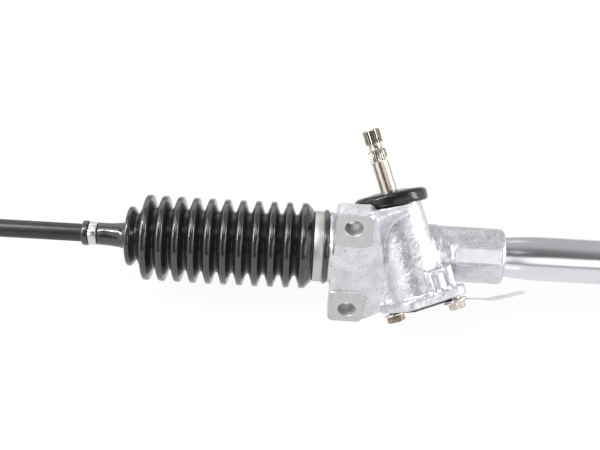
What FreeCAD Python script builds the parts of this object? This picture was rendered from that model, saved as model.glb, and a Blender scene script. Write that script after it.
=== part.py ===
import FreeCAD, Part
import math
import os

import Sketcher
from FreeCAD import Placement, Rotation, Vector

# Manual rack-and-pinion steering gear with both tie rods, in millimetres.
# The row frame has X along the rack, Y along the mounting bolts and Z up. Its origin is the middle
# of the two mounting holes, on the faces of their pads.

os.makedirs("parts", exist_ok=True)
document = FreeCAD.newDocument("steering_rack")
sheet = document.addObject("Spreadsheet::Sheet", "sizes")

# Driving sizes: alias, value, what it is
driving_sizes = [
    ("running_clearance", 0.05, "radial clearance of a part that turns or slides in another"),
    ("soft_clearance", 0.3, "gap between a rubber part and a moving metal part"),
    ("pad_to_axis", 28, "from the pad faces to the rack axis"),
    ("hole_spacing", 78, "between the two mounting holes"),
    ("hole_radius", 6.75, "mounting hole for an M12 bolt"),
    ("tilt_angle", 36, "pinion plane turned from the bolt direction about the rack axis"),
    ("lean_angle", 20.4, "pinion axis leaned along the rack, also the pinion's helix angle"),
    ("pinion_place", 43.5, "pinion axis from the mounting holes along the rack"),
    ("centre_distance", 13.7, "between the rack axis and the pinion axis"),
    ("tooth_module", 2, "normal module of rack and pinion"),
    ("tooth_count", 6, "teeth of the pinion"),
    ("profile_shift", 0.6, "pinion profile shift, in modules"),
    ("pressure_angle", 20, "normal pressure angle"),
    ("tooth_backlash", 0.14, "backlash of the mesh"),
    ("tip_factor", 0.75, "pinion addendum, in modules"),
    ("toothed_half", 17, "half the length of the pinion's toothed part"),
    ("rack_radius", 11, "rack bar"),
    ("side_gaps", 12, "tooth gaps of the rack to each side of the pinion"),
    ("travel", 62, "rack travel to each side"),
    ("stop_gap", 1, "left between socket and housing at full travel"),
    ("ear_thickness", 15.4, "mounting ear along the bolt"),
    ("ear_half_width", 13.3, "half the width of an ear along the rack"),
    ("pad_outer", 12.3, "pad beyond the hole centre, away from the rack"),
    ("pad_inner", 16.5, "pad beyond the hole centre, towards the rack"),
    ("pad_step", 1.4, "pad face raised from the cast plate"),
    ("plate_corner", 4.5, "corner radius of the cast plate"),
    ("plate_reach_top", 16.5, "right edge of the plate at its top"),
    ("plate_reach_middle", 24.5, "right edge of the plate above the rack axis"),
    ("plate_reach_low", 30, "right edge of the plate at its foot"),
    ("low_ear_shift", 1.5, "left edge of the lower ear beyond the upper ear's"),
    ("barrel_radius", 26, "housing barrel between the ears"),
    ("arm_radius", 21.6, "housing arm to the right of the pinion"),
    ("arm_end", 116.5, "right end of the housing arm"),
    ("seat_radius", 24.5, "bellows seat"),
    ("seat_end", 31, "end of the bellows seat from the ear centre, outwards"),
    ("seat_start", 17.5, "inner end of the bellows seat, outwards"),
    ("collar_radius", 27.25, "collar behind the bellows seat"),
    ("collar_width", 3.5, "collar behind the bellows seat"),
    ("rack_bore", 12, "bore of the housing round the rack"),
    ("tower_radius", 21, "pinion tower"),
    ("tower_top", 40, "top of the pinion tower above the rack"),
    ("gusset_foot", 44, "foot of the gusset between plate and tower, below the rack"),
    ("gusset_depth", 14, "gusset behind the rack axis"),
    ("flange_low", 41.4, "underside of the tower flange below the rack"),
    ("flange_thickness", 7.3, "tower flange"),
    ("bolt_circle", 26, "cover bolts from the pinion axis"),
    ("lobe_radius", 9.4, "lobe of the flange round a cover bolt"),
    ("boss_height", 17, "bosses above the flange"),
    ("bolt_radius", 4, "cover bolt M8"),
    ("bolt_reach", 11, "cover bolt above the flange's underside"),
    ("head_height", 5.1, "hexagon head"),
    ("head_flats", 12, "hexagon head across flats"),
    ("washer_radius", 8.2, "cover bolt washer"),
    ("washer_thickness", 1.5, "cover bolt washer"),
    ("cover_thickness", 1.8, "bottom cover"),
    ("gasket_thickness", 0.6, "cover gasket"),
    ("tag_thickness", 0.6, "blank tag under a cover bolt"),
    ("tag_width", 14, "blank tag"),
    ("bearing_low", 20, "underside of the pinion bearing above the rack"),
    ("bearing_width", 11, "pinion ball bearing"),
    ("bearing_outer", 17.5, "outer radius of the bearing"),
    ("bearing_inner", 7.5, "bore radius of the bearing"),
    ("race_depth", 3.3, "radial depth of each race"),
    ("ball_radius", 3, "balls of the bearing"),
    ("ball_count", 8, "balls of the bearing"),
    ("ring_thickness", 1.2, "retaining rings"),
    ("ring_grip", 1.1, "depth of a retaining ring's groove"),
    ("seal_thickness", 6.4, "pinion oil seal"),
    ("pinion_bore", 10.6, "bore round the pinion teeth"),
    ("bush_outer", 10, "lower pinion bush, outside"),
    ("bush_low", 31, "underside of the lower bush below the rack"),
    ("bush_height", 12, "lower pinion bush"),
    ("journal_radius", 7, "lower journal of the pinion"),
    ("shaft_radius", 6.5, "steering shaft"),
    ("shaft_top", 97.3, "top of the steering shaft above the rack"),
    ("spline_length", 10.4, "upper spline"),
    ("notch_length", 6.1, "bolt notch between the splines"),
    ("notch_radius", 5, "bolt notch"),
    ("lower_spline_length", 8.4, "lower spline"),
    ("cap_radius", 27.2, "dust cap"),
    ("cap_low", 38.2, "lower rim of the dust cap above the rack"),
    ("cap_top", 48.6, "top of the dust cap above the rack"),
    ("yoke_radius", 13, "rack support yoke"),
    ("yoke_length", 19, "end of the yoke from the rack axis"),
    ("boss_radius", 19, "yoke boss"),
    ("boss_end", 38, "end of the yoke boss from the rack axis"),
    ("plug_radius", 15, "yoke plug"),
    ("plug_start", 24, "inner face of the yoke plug from the rack axis"),
    ("plug_end", 46, "outer face of the yoke plug"),
    ("nut_height", 6, "lock nut of the yoke plug"),
    ("nut_flats", 38, "lock nut of the yoke plug, across flats"),
    ("spring_radius", 5.6, "mean radius of the yoke spring"),
    ("wire_radius", 1.1, "wire of the yoke spring"),
    ("pocket_radius", 7.2, "spring pockets"),
    ("tube_radius", 17.25, "steel tube"),
    ("tube_wall", 2, "wall of the steel tube"),
    ("mouth_radius", 15.05, "steel tube where it enters the housing"),
    ("mouth_length", 34, "steel tube inside the housing"),
    ("span", 438, "from the left ear centre to its mirror place at the right end"),
    ("bush_length", 24, "rack bush in the tube"),
    ("clamp_width", 7.2, "large bellows clamp"),
    ("clamp_thickness", 0.9, "bellows clamps"),
    ("clamp_place", 21.2, "inner edge of the large clamp, outwards"),
    ("bellows_wall", 2.1, "rubber at the clamps"),
    ("crest_radius", 33.4, "bellows crests"),
    ("root_radius", 24.2, "bellows roots"),
    ("bellows_inner", 21.9, "inside of the bellows roots"),
    ("crest_place", 36.4, "first crest, outwards"),
    ("crest_pitch", 12.05, "between crests"),
    ("crest_count", 11, "large crests"),
    ("crest_flat", 2.2, "crest land"),
    ("small_root_radius", 18.2, "valley before the last small crest"),
    ("small_crest_radius", 23.3, "last small crest"),
    ("neck_radius", 9.3, "bellows neck"),
    ("neck_length", 20.3, "bellows neck"),
    ("small_clamp_width", 6.8, "small bellows clamp"),
    ("rod_radius", 7, "tie rod"),
    ("rod_groove", 6.6, "tie rod under the bellows neck"),
    ("ball_joint_radius", 12, "ball of the inner joint"),
    ("liner_thickness", 2.5, "nylon seat round the ball"),
    ("socket_radius", 17.5, "socket of the inner joint"),
    ("socket_back", 20, "back face of the socket from the ball centre"),
    ("socket_mouth", 10, "mouth of the socket from the ball centre"),
    ("stud_radius", 7, "threaded stud of the socket"),
    ("stud_length", 17, "threaded stud of the socket"),
    ("lock_washer_thickness", 1.6, "washer between socket and rack"),
    ("rod_length", 270, "tie rod from the ball centre to its end"),
    ("jam_nut_place", 48, "jam nut from the end of the tie rod"),
    ("jam_nut_height", 9, "jam nut"),
    ("jam_nut_flats", 22, "jam nut across flats"),
    ("thread_mean_radius", 6.6, "thread of the tie rod where the jam nut grips it"),
    ("bracket_inset", 38, "right mounting bracket inwards from the right mirror place"),
    ("bracket_width", 30, "right mounting bracket"),
    ("bracket_sheet", 3.2, "sheet of the bracket"),
    ("bracket_foot", 22, "foot of the bracket beyond its bend"),
    ("bracket_hole", 5.5, "bracket hole for an M10 bolt"),
    ("rubber_radius", 25.5, "rubber bush under the bracket"),
]


class Size:
    """A size with its value and the sheet formula that gives it."""

    def __init__(self, value, formula):
        self.value = value
        self.formula = formula

    def __add__(self, other):
        other = as_size(other)
        return Size(self.value + other.value, f"({self.formula} + {other.formula})")

    def __sub__(self, other):
        other = as_size(other)
        return Size(self.value - other.value, f"({self.formula} - {other.formula})")

    def __mul__(self, other):
        other = as_size(other)
        return Size(self.value * other.value, f"({self.formula} * {other.formula})")

    def __truediv__(self, other):
        other = as_size(other)
        return Size(self.value / other.value, f"({self.formula} / {other.formula})")

    def __neg__(self):
        return Size(-self.value, f"(0 - {self.formula})")

    def __radd__(self, other):
        return as_size(other) + self

    def __rsub__(self, other):
        return as_size(other) - self

    def __rmul__(self, other):
        return as_size(other) * self

    def __float__(self):
        return float(self.value)


def as_size(number):
    """A bare number as a size."""
    if isinstance(number, Size):
        return number
    return Size(number, f"({number})")


class Sizes:
    """The driving sizes by name."""


sz = Sizes()
for row, (alias, value, words) in enumerate(driving_sizes, start=1):
    sheet.set(f"A{row}", words)
    sheet.set(f"B{row}", str(value))
    sheet.setAlias(f"B{row}", alias)
    setattr(sz, alias, Size(value, f"sizes.{alias}"))
document.recompute()


# Frames that the pieces are placed in

def vector(x, y, z):
    return Vector(float(x), float(y), float(z))


row_frame = Placement()
tilt = Rotation(Vector(1, 0, 0), -float(sz.tilt_angle))
lean = Rotation(Vector(0, 1, 0), -float(sz.lean_angle))

# Rack frame: X along the rack, Y away from the pinion, Z along the rack teeth
rack_frame = Placement(vector(0, sz.pad_to_axis, 0), tilt)
# Pinion frame: Z up the pinion axis, Y towards the rack
pinion_frame = rack_frame.multiply(Placement(vector(sz.pinion_place, -sz.centre_distance, 0), lean))
# Yoke frame: Z from the rack axis out through the yoke
yoke_frame = rack_frame.multiply(
    Placement(vector(sz.pinion_place, 0, 0), Rotation(Vector(1, 0, 0), -90)))
# Line frame: Z along the rack to the right
line_frame = rack_frame.multiply(Placement(Vector(), Rotation(Vector(0, 1, 0), 90)))
# End frames: Z outwards along the rack, from the left ear centre and from its mirror place
end_frames = {
    "left": rack_frame.multiply(Placement(Vector(), Rotation(Vector(0, 1, 0), -90))),
    "right": rack_frame.multiply(
        Placement(vector(sz.span, 0, 0), Rotation(Vector(0, 1, 0), 90))),
}


# Helpers that draw, turn and place

def bind(piece, **properties):
    """Ties properties of a piece to the sheet."""
    for name, size in properties.items():
        size = as_size(size)
        piece.setExpression(name, size.formula)


def put(piece, frame, x=0, y=0, z=0, turn=None):
    """Places a piece at a point of a frame."""
    local = Placement(vector(x, y, z), turn or Rotation())
    piece.Placement = frame.multiply(local)
    return piece


def origin_plane(body, role):
    for feature in body.Origin.OriginFeatures:
        if feature.Role == role:
            return feature


def draw(body, plane, points):
    """A closed outline through points, each tied to the sheet."""
    sketch = body.newObject("Sketcher::SketchObject", body.Name + "_outline")
    sketch.AttachmentSupport = (origin_plane(body, plane), "")
    sketch.MapMode = "FlatFace"
    corners = [(as_size(x), as_size(y)) for x, y in points]
    count = len(corners)
    lines = []
    ties = []
    for index, (x, y) in enumerate(corners):
        next_x, next_y = corners[(index + 1) % count]
        lines.append(Part.LineSegment(vector(x, y, 0), vector(next_x, next_y, 0)))
        ties.append(Sketcher.Constraint("Coincident", index, 2, (index + 1) % count, 1))
    for index, (x, y) in enumerate(corners):
        ties.append(Sketcher.Constraint("DistanceX", -1, 1, index, 1, float(x)))
        ties.append(Sketcher.Constraint("DistanceY", -1, 1, index, 1, float(y)))
    sketch.addGeometry(lines, False)
    sketch.addConstraint(ties)
    for index, (x, y) in enumerate(corners):
        sketch.setExpression(f"Constraints[{count + 2 * index}]", x.formula)
        sketch.setExpression(f"Constraints[{count + 2 * index + 1}]", y.formula)
    return sketch


def new_body(name):
    body = document.addObject("PartDesign::Body", name)
    body.Label = name
    return body


def turn_profile(body, profile):
    """Turns a profile of (height, radius) points about the body's Z axis."""
    sketch = draw(body, "XZ_Plane", [(radius, height) for height, radius in profile])
    feature = body.newObject("PartDesign::Revolution", body.Name + "_turned")
    feature.Profile = sketch
    feature.ReferenceAxis = (sketch, ["V_Axis"])
    feature.Angle = 360
    return feature


def turned(name, frame, profile, **place):
    """A turned piece from (height, radius) points along the Z axis of a frame."""
    body = new_body(name)
    turn_profile(body, profile)
    return put(body, frame, **place)


def ring(name, frame, low, high, inner, outer, **place):
    """A plain ring."""
    return turned(name, frame, [(low, inner), (high, inner), (high, outer), (low, outer)], **place)


def plate(name, frame, plane, points, depth, corner=None, **place):
    """A flat piece from an outline, with the corners across its faces rounded."""
    body = new_body(name)
    sketch = draw(body, plane, points)
    pad = body.newObject("PartDesign::Pad", name + "_pad")
    pad.Profile = sketch
    bind(pad, Length=depth)
    if corner is not None:
        document.recompute()
        normal = sketch.Placement.Rotation.multVec(Vector(0, 0, 1))
        across = []
        for index, edge in enumerate(pad.Shape.Edges, start=1):
            run = edge.valueAt(edge.LastParameter) - edge.valueAt(edge.FirstParameter)
            if run.Length > 0 and run.normalize().cross(normal).Length < 0.01:
                across.append(f"Edge{index}")
        rounding = body.newObject("PartDesign::Fillet", name + "_corners")
        rounding.Base = (pad, across)
        bind(rounding, Radius=corner)
    return put(body, frame, **place)


def cylinder(name, frame, radius, low, high, x=0, y=0):
    piece = document.addObject("Part::Cylinder", name)
    bind(piece, Radius=radius, Height=as_size(high) - low)
    return put(piece, frame, x, y, low)


def box(name, frame, start, end):
    piece = document.addObject("Part::Box", name)
    sides = [as_size(high) - low for low, high in zip(start, end)]
    bind(piece, Length=sides[0], Width=sides[1], Height=sides[2])
    return put(piece, frame, *start)


def ball(name, frame, radius, x=0, y=0, z=0):
    piece = document.addObject("Part::Sphere", name)
    bind(piece, Radius=radius)
    return put(piece, frame, x, y, z)


def hexagon(name, frame, flats, low, height, x=0, y=0):
    piece = document.addObject("Part::Prism", name)
    piece.Polygon = 6
    corner = as_size(flats) / (2 * math.cos(math.radians(30)))
    bind(piece, Circumradius=corner, Height=height)
    return put(piece, frame, x, y, low)


def fuse(name, pieces):
    whole = document.addObject("Part::MultiFuse", name)
    whole.Shapes = pieces
    whole.Refine = True
    whole.Label = name
    return whole


def cut(name, piece, tool):
    whole = document.addObject("Part::Cut", name)
    whole.Base = piece
    whole.Tool = tool
    whole.Label = name
    return whole


def group(name, pieces):
    whole = document.addObject("Part::Compound", name)
    whole.Links = pieces
    whole.Label = name
    return whole


# Sizes of the mesh

lean_cosine = math.cos(math.radians(float(sz.lean_angle)))
pinion_pitch_radius = sz.tooth_module * sz.tooth_count / (2 * lean_cosine)
pitch_line = sz.centre_distance - pinion_pitch_radius - sz.profile_shift * sz.tooth_module
rack_tip = pitch_line + sz.tooth_module
rack_gap_floor = pitch_line - sz.tooth_module
rack_pitch = math.pi * sz.tooth_module
pinion_tip = pinion_pitch_radius + (sz.profile_shift + sz.tip_factor) * sz.tooth_module
pinion_root = pinion_pitch_radius + (sz.profile_shift - 1.25) * sz.tooth_module


# Places along the ends, outwards from the ear centre

socket_face = sz.seat_end + sz.travel + sz.stop_gap + sz.lock_washer_thickness
ball_place = socket_face + sz.socket_back
last_crest = sz.crest_place + (sz.crest_count - 1) * sz.crest_pitch
neck_start = last_crest + 1.6 * sz.crest_pitch
neck_end = neck_start + sz.neck_length
rack_end = socket_face - sz.lock_washer_thickness
hole_height = sz.hole_spacing / 2
bracket_place = sz.span - sz.bracket_inset
tower_rim = sz.tower_radius + 0.1
flange_turn = -30


# Cast housing

def mounting_plate():
    """The cast plate that carries both ears, with its raised pads."""
    top = hole_height + sz.pad_outer
    corner = sz.plate_corner
    inset = 0.2
    left = {"upper_pad": -sz.ear_half_width, "lower_pad": -sz.ear_half_width - sz.low_ear_shift}
    outline = [
        (left["upper_pad"], top),
        (sz.ear_half_width, top),
        (sz.plate_reach_top, top - sz.plate_corner),
        (sz.plate_reach_middle, hole_height * 0.36),
        (sz.plate_reach_low, -hole_height),
        (sz.ear_half_width, -top),
        (left["lower_pad"], -top),
    ]
    cast_plate = plate("cast_plate", row_frame, "XZ_Plane", outline,
                       sz.ear_thickness - sz.pad_step, corner, y=sz.ear_thickness)
    pads = []
    for name, side in (("upper_pad", 1), ("lower_pad", -1)):
        outer_edge = side * (hole_height + sz.pad_outer - inset)
        inner_edge = side * (hole_height - sz.pad_inner)
        near = left[name] + inset
        far = sz.ear_half_width - inset
        pad_outline = [(near, outer_edge), (far, outer_edge), (far, inner_edge), (near, inner_edge)]
        pads.append(plate(name, row_frame, "XZ_Plane", pad_outline,
                          sz.ear_thickness / 2, corner, y=sz.ear_thickness / 2))
    return [cast_plate] + pads


def tower_web():
    """The web that slants back from the upper ear to the pinion tower."""
    front = sz.pad_step + 0.6
    root = sz.ear_half_width - 1
    middle_out = 11.5
    middle_back = 9.7
    ridge_out = 25
    ridge_back = 17.5
    foot = 24
    above_hole = 7
    outline = [
        (root, front),
        (sz.plate_reach_top - 0.5, front),
        (sz.plate_reach_top + middle_out, front + middle_back),
        (sz.plate_reach_top + ridge_out, front + ridge_back),
        (sz.pinion_place + 1, sz.pad_to_axis),
        (root, sz.pad_to_axis),
    ]
    web = plate("web_form", row_frame, "XY_Plane", outline, hole_height + above_hole + foot, z=-foot)
    web_trim = cylinder("web_trim", pinion_frame, 2 * sz.tower_radius,
                        sz.cap_low - 2.4, sz.cap_low + 2 * sz.tower_top)
    return cut("tower_web", web, web_trim)


def tower_gusset():
    """The gusset that closes the corner between the plate's foot and the tower."""
    outline = [
        (sz.ear_half_width, -sz.arm_radius),
        (sz.plate_reach_low - 2, -sz.gusset_foot),
        (sz.pinion_place, -sz.gusset_foot),
        (sz.pinion_place, as_size(0)),
        (sz.ear_half_width, as_size(0)),
    ]
    return plate("tower_gusset", rack_frame, "XZ_Plane", outline, sz.gusset_depth,
                 y=sz.gusset_depth)


def main_barrel():
    """The turned forms along the rack: bellows seat, collar, barrel and arm."""
    chamfer = 1.4
    taper = 1.2
    shoulder = sz.ear_half_width + 14
    neck = sz.arm_radius + 0.8
    neck_end = sz.pinion_place + sz.tower_radius + 1
    profile = [
        (-sz.seat_end, sz.rack_bore - 1),
        (-sz.seat_end, sz.seat_radius - chamfer),
        (-sz.seat_end + chamfer, sz.seat_radius),
        (-sz.seat_start, sz.seat_radius),
        (-sz.seat_start, sz.collar_radius),
        (-sz.seat_start + sz.collar_width, sz.collar_radius),
        (-sz.seat_start + sz.collar_width + taper, sz.barrel_radius),
        (sz.ear_half_width, sz.barrel_radius),
        (shoulder, neck),
        (neck_end, neck),
        (neck_end + 3, sz.arm_radius),
        (sz.arm_end - chamfer, sz.arm_radius),
        (sz.arm_end, sz.arm_radius - chamfer),
        (sz.arm_end, sz.rack_bore - 1),
    ]
    return turned("barrel_form", line_frame, profile)


def lobe_places():
    """Cover bolt centres in the pinion frame: right at the front and left behind."""
    places = []
    for angle in (flange_turn, flange_turn + 180):
        turn = math.radians(angle)
        places.append((sz.bolt_circle * math.cos(turn), sz.bolt_circle * math.sin(turn)))
    return places


def flange_shape(name, low, height):
    """A rhombic plate with rounded corners round both cover bolts."""
    side_turn = math.radians(53.4)
    half_width = sz.bolt_circle * math.cos(side_turn) + sz.lobe_radius
    tip = half_width / math.cos(side_turn)
    side = half_width / math.sin(side_turn)
    none = as_size(0)
    outline = [(tip, none), (none, side), (-tip, none), (none, -side)]
    return plate(name, pinion_frame, "XY_Plane", outline, height, sz.lobe_radius, z=low,
                 turn=Rotation(Vector(0, 0, 1), flange_turn))


def pinion_tower():
    """The leaning tower with its foot flange and the bolt bosses on the flange."""
    top = sz.tower_top
    flange_top = -(sz.flange_low - sz.flange_thickness)
    tower = turned("tower_form", pinion_frame, [
        (-sz.flange_low, 0),
        (-sz.flange_low, sz.tower_radius + 0.6),
        (top - 6, tower_rim),
        (top - 0.6, tower_rim),
        (top, tower_rim - 0.6),
        (top, 0),
    ])
    flange = flange_shape("flange_form", -sz.flange_low, sz.flange_thickness)
    boss_top = flange_top + sz.boss_height
    roof_top = boss_top - 0.6
    foot = flange_top - 1
    front = -sz.tower_radius
    buried = -4
    rib_left = sz.tower_radius * 0.28
    rib_width = 2.6
    roof_thickness = 2.6
    right_radius = 5.6
    middle_radius = 4.4
    left_radius = 7.4
    left_height = 8
    right_x, right_y = lobe_places()[0]
    left_x, left_y = lobe_places()[1]
    right_boss = cylinder("right_boss", pinion_frame, right_radius, foot, boss_top,
                          right_x - 1.4, right_y - 2.4)
    middle_boss = cylinder("middle_boss", pinion_frame, middle_radius, foot, boss_top - 1,
                           right_x - 9, right_y - 5.5)
    roof = box("boss_roof", pinion_frame, (rib_left, front - 2.2, roof_top - roof_thickness),
               (right_x - 4, buried, roof_top))
    rib = box("boss_rib", pinion_frame, (rib_left, front - 4, foot),
              (rib_left + rib_width, buried, roof_top))
    left_boss = cylinder("left_boss", pinion_frame, left_radius, foot, flange_top + left_height,
                         left_x + 1, left_y - 1)
    return [tower, flange, right_boss, middle_boss, roof, rib, left_boss]


def name_field():
    """The raised frame on the arm's front, with an empty field."""
    centre = sz.arm_end - 20
    half_length = 18.9
    half_height = 8.3
    rim = 1.9
    raised = 1.4
    depth = 1
    block = 8
    front = -sz.arm_radius - raised
    outer = []
    inner = []
    for along, up in ((-1, -1), (1, -1), (1, 1), (-1, 1)):
        outer.append((centre + along * half_length, as_size(up * half_height)))
        inner.append((centre + along * (half_length - rim), as_size(up * (half_height - rim))))
    rise = plate("field_rise", rack_frame, "XZ_Plane", outer, block, 3, y=front + block)
    hollow = plate("field_hollow", rack_frame, "XZ_Plane", inner, block / 2, 2, y=front + depth)
    return rise, hollow


def build_housing():
    rise, hollow = name_field()
    solids = mounting_plate() + [tower_web(), tower_gusset(), main_barrel(), rise]
    solids += pinion_tower()
    solids.append(cylinder("yoke_boss", yoke_frame, sz.boss_radius, 0, sz.boss_end))
    casting = fuse("raw_casting", solids)

    tools = [hollow]
    for name, side in (("upper_hole", 1), ("lower_hole", -1)):
        hole = document.addObject("Part::Cylinder", name)
        bind(hole, Radius=sz.hole_radius, Height=3 * sz.ear_thickness)
        put(hole, row_frame, 0, 2 * sz.ear_thickness, side * hole_height,
            Rotation(Vector(1, 0, 0), 90))
        tools.append(hole)
    tools.append(cylinder("rack_bore_cut", line_frame, sz.rack_bore,
                          -sz.seat_end - 1, sz.arm_end + 1))
    tools.append(cylinder("tube_seat_cut", line_frame, sz.mouth_radius,
                          sz.arm_end - sz.mouth_length, sz.arm_end + 1))
    ring_top = sz.bearing_low + sz.bearing_width + sz.ring_thickness
    shoulder = sz.bearing_outer - sz.race_depth / 2
    shoulder_low = sz.bearing_low - sz.race_depth / 2
    bush_seat_top = -sz.bush_low + sz.bush_height + 0.5
    bore = turned("pinion_bore_cut", pinion_frame, [
        (-sz.flange_low - 1, 0),
        (-sz.flange_low - 1, sz.bush_outer),
        (bush_seat_top, sz.bush_outer),
        (bush_seat_top, sz.pinion_bore),
        (shoulder_low, sz.pinion_bore),
        (shoulder_low, shoulder),
        (sz.bearing_low, shoulder),
        (sz.bearing_low, sz.bearing_outer),
        (sz.bearing_low + sz.bearing_width, sz.bearing_outer),
        (sz.bearing_low + sz.bearing_width, sz.bearing_outer + sz.ring_grip),
        (ring_top, sz.bearing_outer + sz.ring_grip),
        (ring_top, sz.bearing_outer),
        (sz.tower_top + 1, sz.bearing_outer),
        (sz.tower_top + 1, 0),
    ])
    tools.append(bore)
    tools.append(turned("yoke_bore_cut", yoke_frame, [
        (0, 0),
        (0, sz.yoke_radius + sz.running_clearance),
        (sz.plug_start, sz.yoke_radius + sz.running_clearance),
        (sz.plug_start, sz.plug_radius),
        (sz.boss_end + 1, sz.plug_radius),
        (sz.boss_end + 1, 0),
    ]))
    for number, (x, y) in enumerate(lobe_places(), start=1):
        tools.append(cylinder(f"bolt_hole_{number}", pinion_frame, sz.bolt_radius,
                              -sz.flange_low - 1, -sz.flange_low + sz.bolt_reach + 2, x, y))
    return cut("pinion_housing", casting, fuse("housing_cuts", tools))


# Pinion cover, bolts and tag

def build_cover():
    """Bottom cover, gasket, bolts, washers and the blank tag under the right bolt's head."""
    gasket_low = -sz.flange_low - sz.gasket_thickness
    cover_low = gasket_low - sz.cover_thickness
    bolt_room = sz.bolt_radius + 4 * sz.running_clearance
    parts = []
    for name, low, height in (("cover_gasket", gasket_low, sz.gasket_thickness),
                              ("bottom_cover", cover_low, sz.cover_thickness)):
        blank = flange_shape(name + "_blank", low, height)
        holes = [cylinder(f"{name}_hole_{number}", pinion_frame, bolt_room,
                          low - 1, low + height + 1, x, y)
                 for number, (x, y) in enumerate(lobe_places(), start=1)]
        parts.append(cut(name, blank, fuse(name + "_holes", holes)))

    bolts = []
    washers = []
    for number, (x, y) in enumerate(lobe_places(), start=1):
        tag_room = sz.tag_thickness if number == 1 else as_size(0)
        washer_low = cover_low - sz.washer_thickness
        head_top = washer_low - tag_room
        washers.append(ring(f"washer_{number}", pinion_frame, washer_low, cover_low,
                            bolt_room, sz.washer_radius, x=x, y=y))
        head = hexagon(f"head_{number}", pinion_frame, sz.head_flats,
                       head_top - sz.head_height, sz.head_height, x, y)
        shank = cylinder(f"shank_{number}", pinion_frame, sz.bolt_radius,
                         head_top - 1, -sz.flange_low + sz.bolt_reach, x, y)
        bolts.append(fuse(f"bolt_{number}", [head, shank]))
    parts.append(group("cover_bolts", bolts))
    parts.append(group("cover_washers", washers))

    x, y = lobe_places()[0]
    tag_line = [(x - 9, as_size(0)), (x + 7, as_size(0)),
                (x + 24.7, as_size(-6.6)), (x + 51, as_size(-8.6))]
    lower = [(along, rise - sz.tag_thickness) for along, rise in reversed(tag_line)]
    tag_top = cover_low - sz.washer_thickness
    strip = plate("tag_strip", pinion_frame, "XZ_Plane", tag_line + lower, sz.tag_width,
                  y=y + sz.tag_width / 2, z=tag_top)
    tag_hole = cylinder("tag_hole", pinion_frame, bolt_room, tag_top - 4, tag_top + 4, x, y)
    parts.append(cut("blank_tag", strip, tag_hole))
    return parts


# Pinion, its bearing and seals

def involute(angle):
    return math.tan(angle) - angle


def pinion_section():
    """One transverse section of the pinion teeth, with a gap towards the rack."""
    pitch_radius = float(pinion_pitch_radius)
    module = float(sz.tooth_module)
    count = int(float(sz.tooth_count))
    normal_angle = math.radians(float(sz.pressure_angle))
    transverse_angle = math.atan(math.tan(normal_angle) / lean_cosine)
    base_radius = pitch_radius * math.cos(transverse_angle)
    tip_radius = float(pinion_tip)
    root_radius = float(pinion_root)
    shift = float(sz.profile_shift)
    thickness = module * (math.pi / 2 + 2 * shift * math.tan(normal_angle)) / lean_cosine
    thickness -= float(sz.tooth_backlash)
    half_angle = thickness / (2 * pitch_radius)

    def half_at(radius):
        if radius <= base_radius:
            return half_angle + involute(transverse_angle)
        rolled = math.acos(base_radius / radius)
        return half_angle + involute(transverse_angle) - involute(rolled)

    def at(radius, angle):
        return Vector(radius * math.cos(angle), radius * math.sin(angle), 0)

    flank_steps = 6
    radii = [base_radius + (tip_radius - base_radius) * step / flank_steps
             for step in range(flank_steps + 1)]
    edges = []
    step_angle = 2 * math.pi / count
    for index in range(count):
        middle = math.pi / 2 + step_angle * (index + 0.5)
        rise = [at(radius, middle - half_at(radius)) for radius in radii]
        fall = [at(radius, middle + half_at(radius)) for radius in reversed(radii)]
        foot_start = at(root_radius, middle - half_at(0))
        foot_end = at(root_radius, middle + half_at(0))
        next_foot = at(root_radius, middle + step_angle - half_at(0))
        gap_middle = at(root_radius, middle + step_angle / 2)
        edges.append(Part.makeLine(foot_start, rise[0]))
        for flank in (rise, fall):
            curve = Part.BSplineCurve()
            curve.interpolate(flank)
            edges.append(curve.toShape())
            if flank is rise:
                tip = Part.Arc(rise[-1], at(tip_radius, middle), fall[0])
                edges.append(tip.toShape())
        edges.append(Part.makeLine(fall[-1], foot_end))
        edges.append(Part.Arc(foot_end, gap_middle, next_foot).toShape())
    return Part.Wire(edges)


def pinion_teeth():
    """The helical teeth, lofted through turned copies of the section."""
    section = pinion_section()
    half_length = float(sz.toothed_half)
    twist = math.degrees(math.tan(math.radians(float(sz.lean_angle))) / float(pinion_pitch_radius))
    steps = 10
    wires = []
    for step in range(steps + 1):
        height = half_length * (2 * step / steps - 1)
        wire = section.copy()
        wire.rotate(Vector(), Vector(0, 0, 1), -twist * height)
        wire.translate(Vector(0, 0, height))
        wires.append(wire)
    teeth = document.addObject("Part::Feature", "pinion_teeth")
    teeth.Shape = Part.makeLoft(wires, True, False)
    return put(teeth, pinion_frame)


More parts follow.
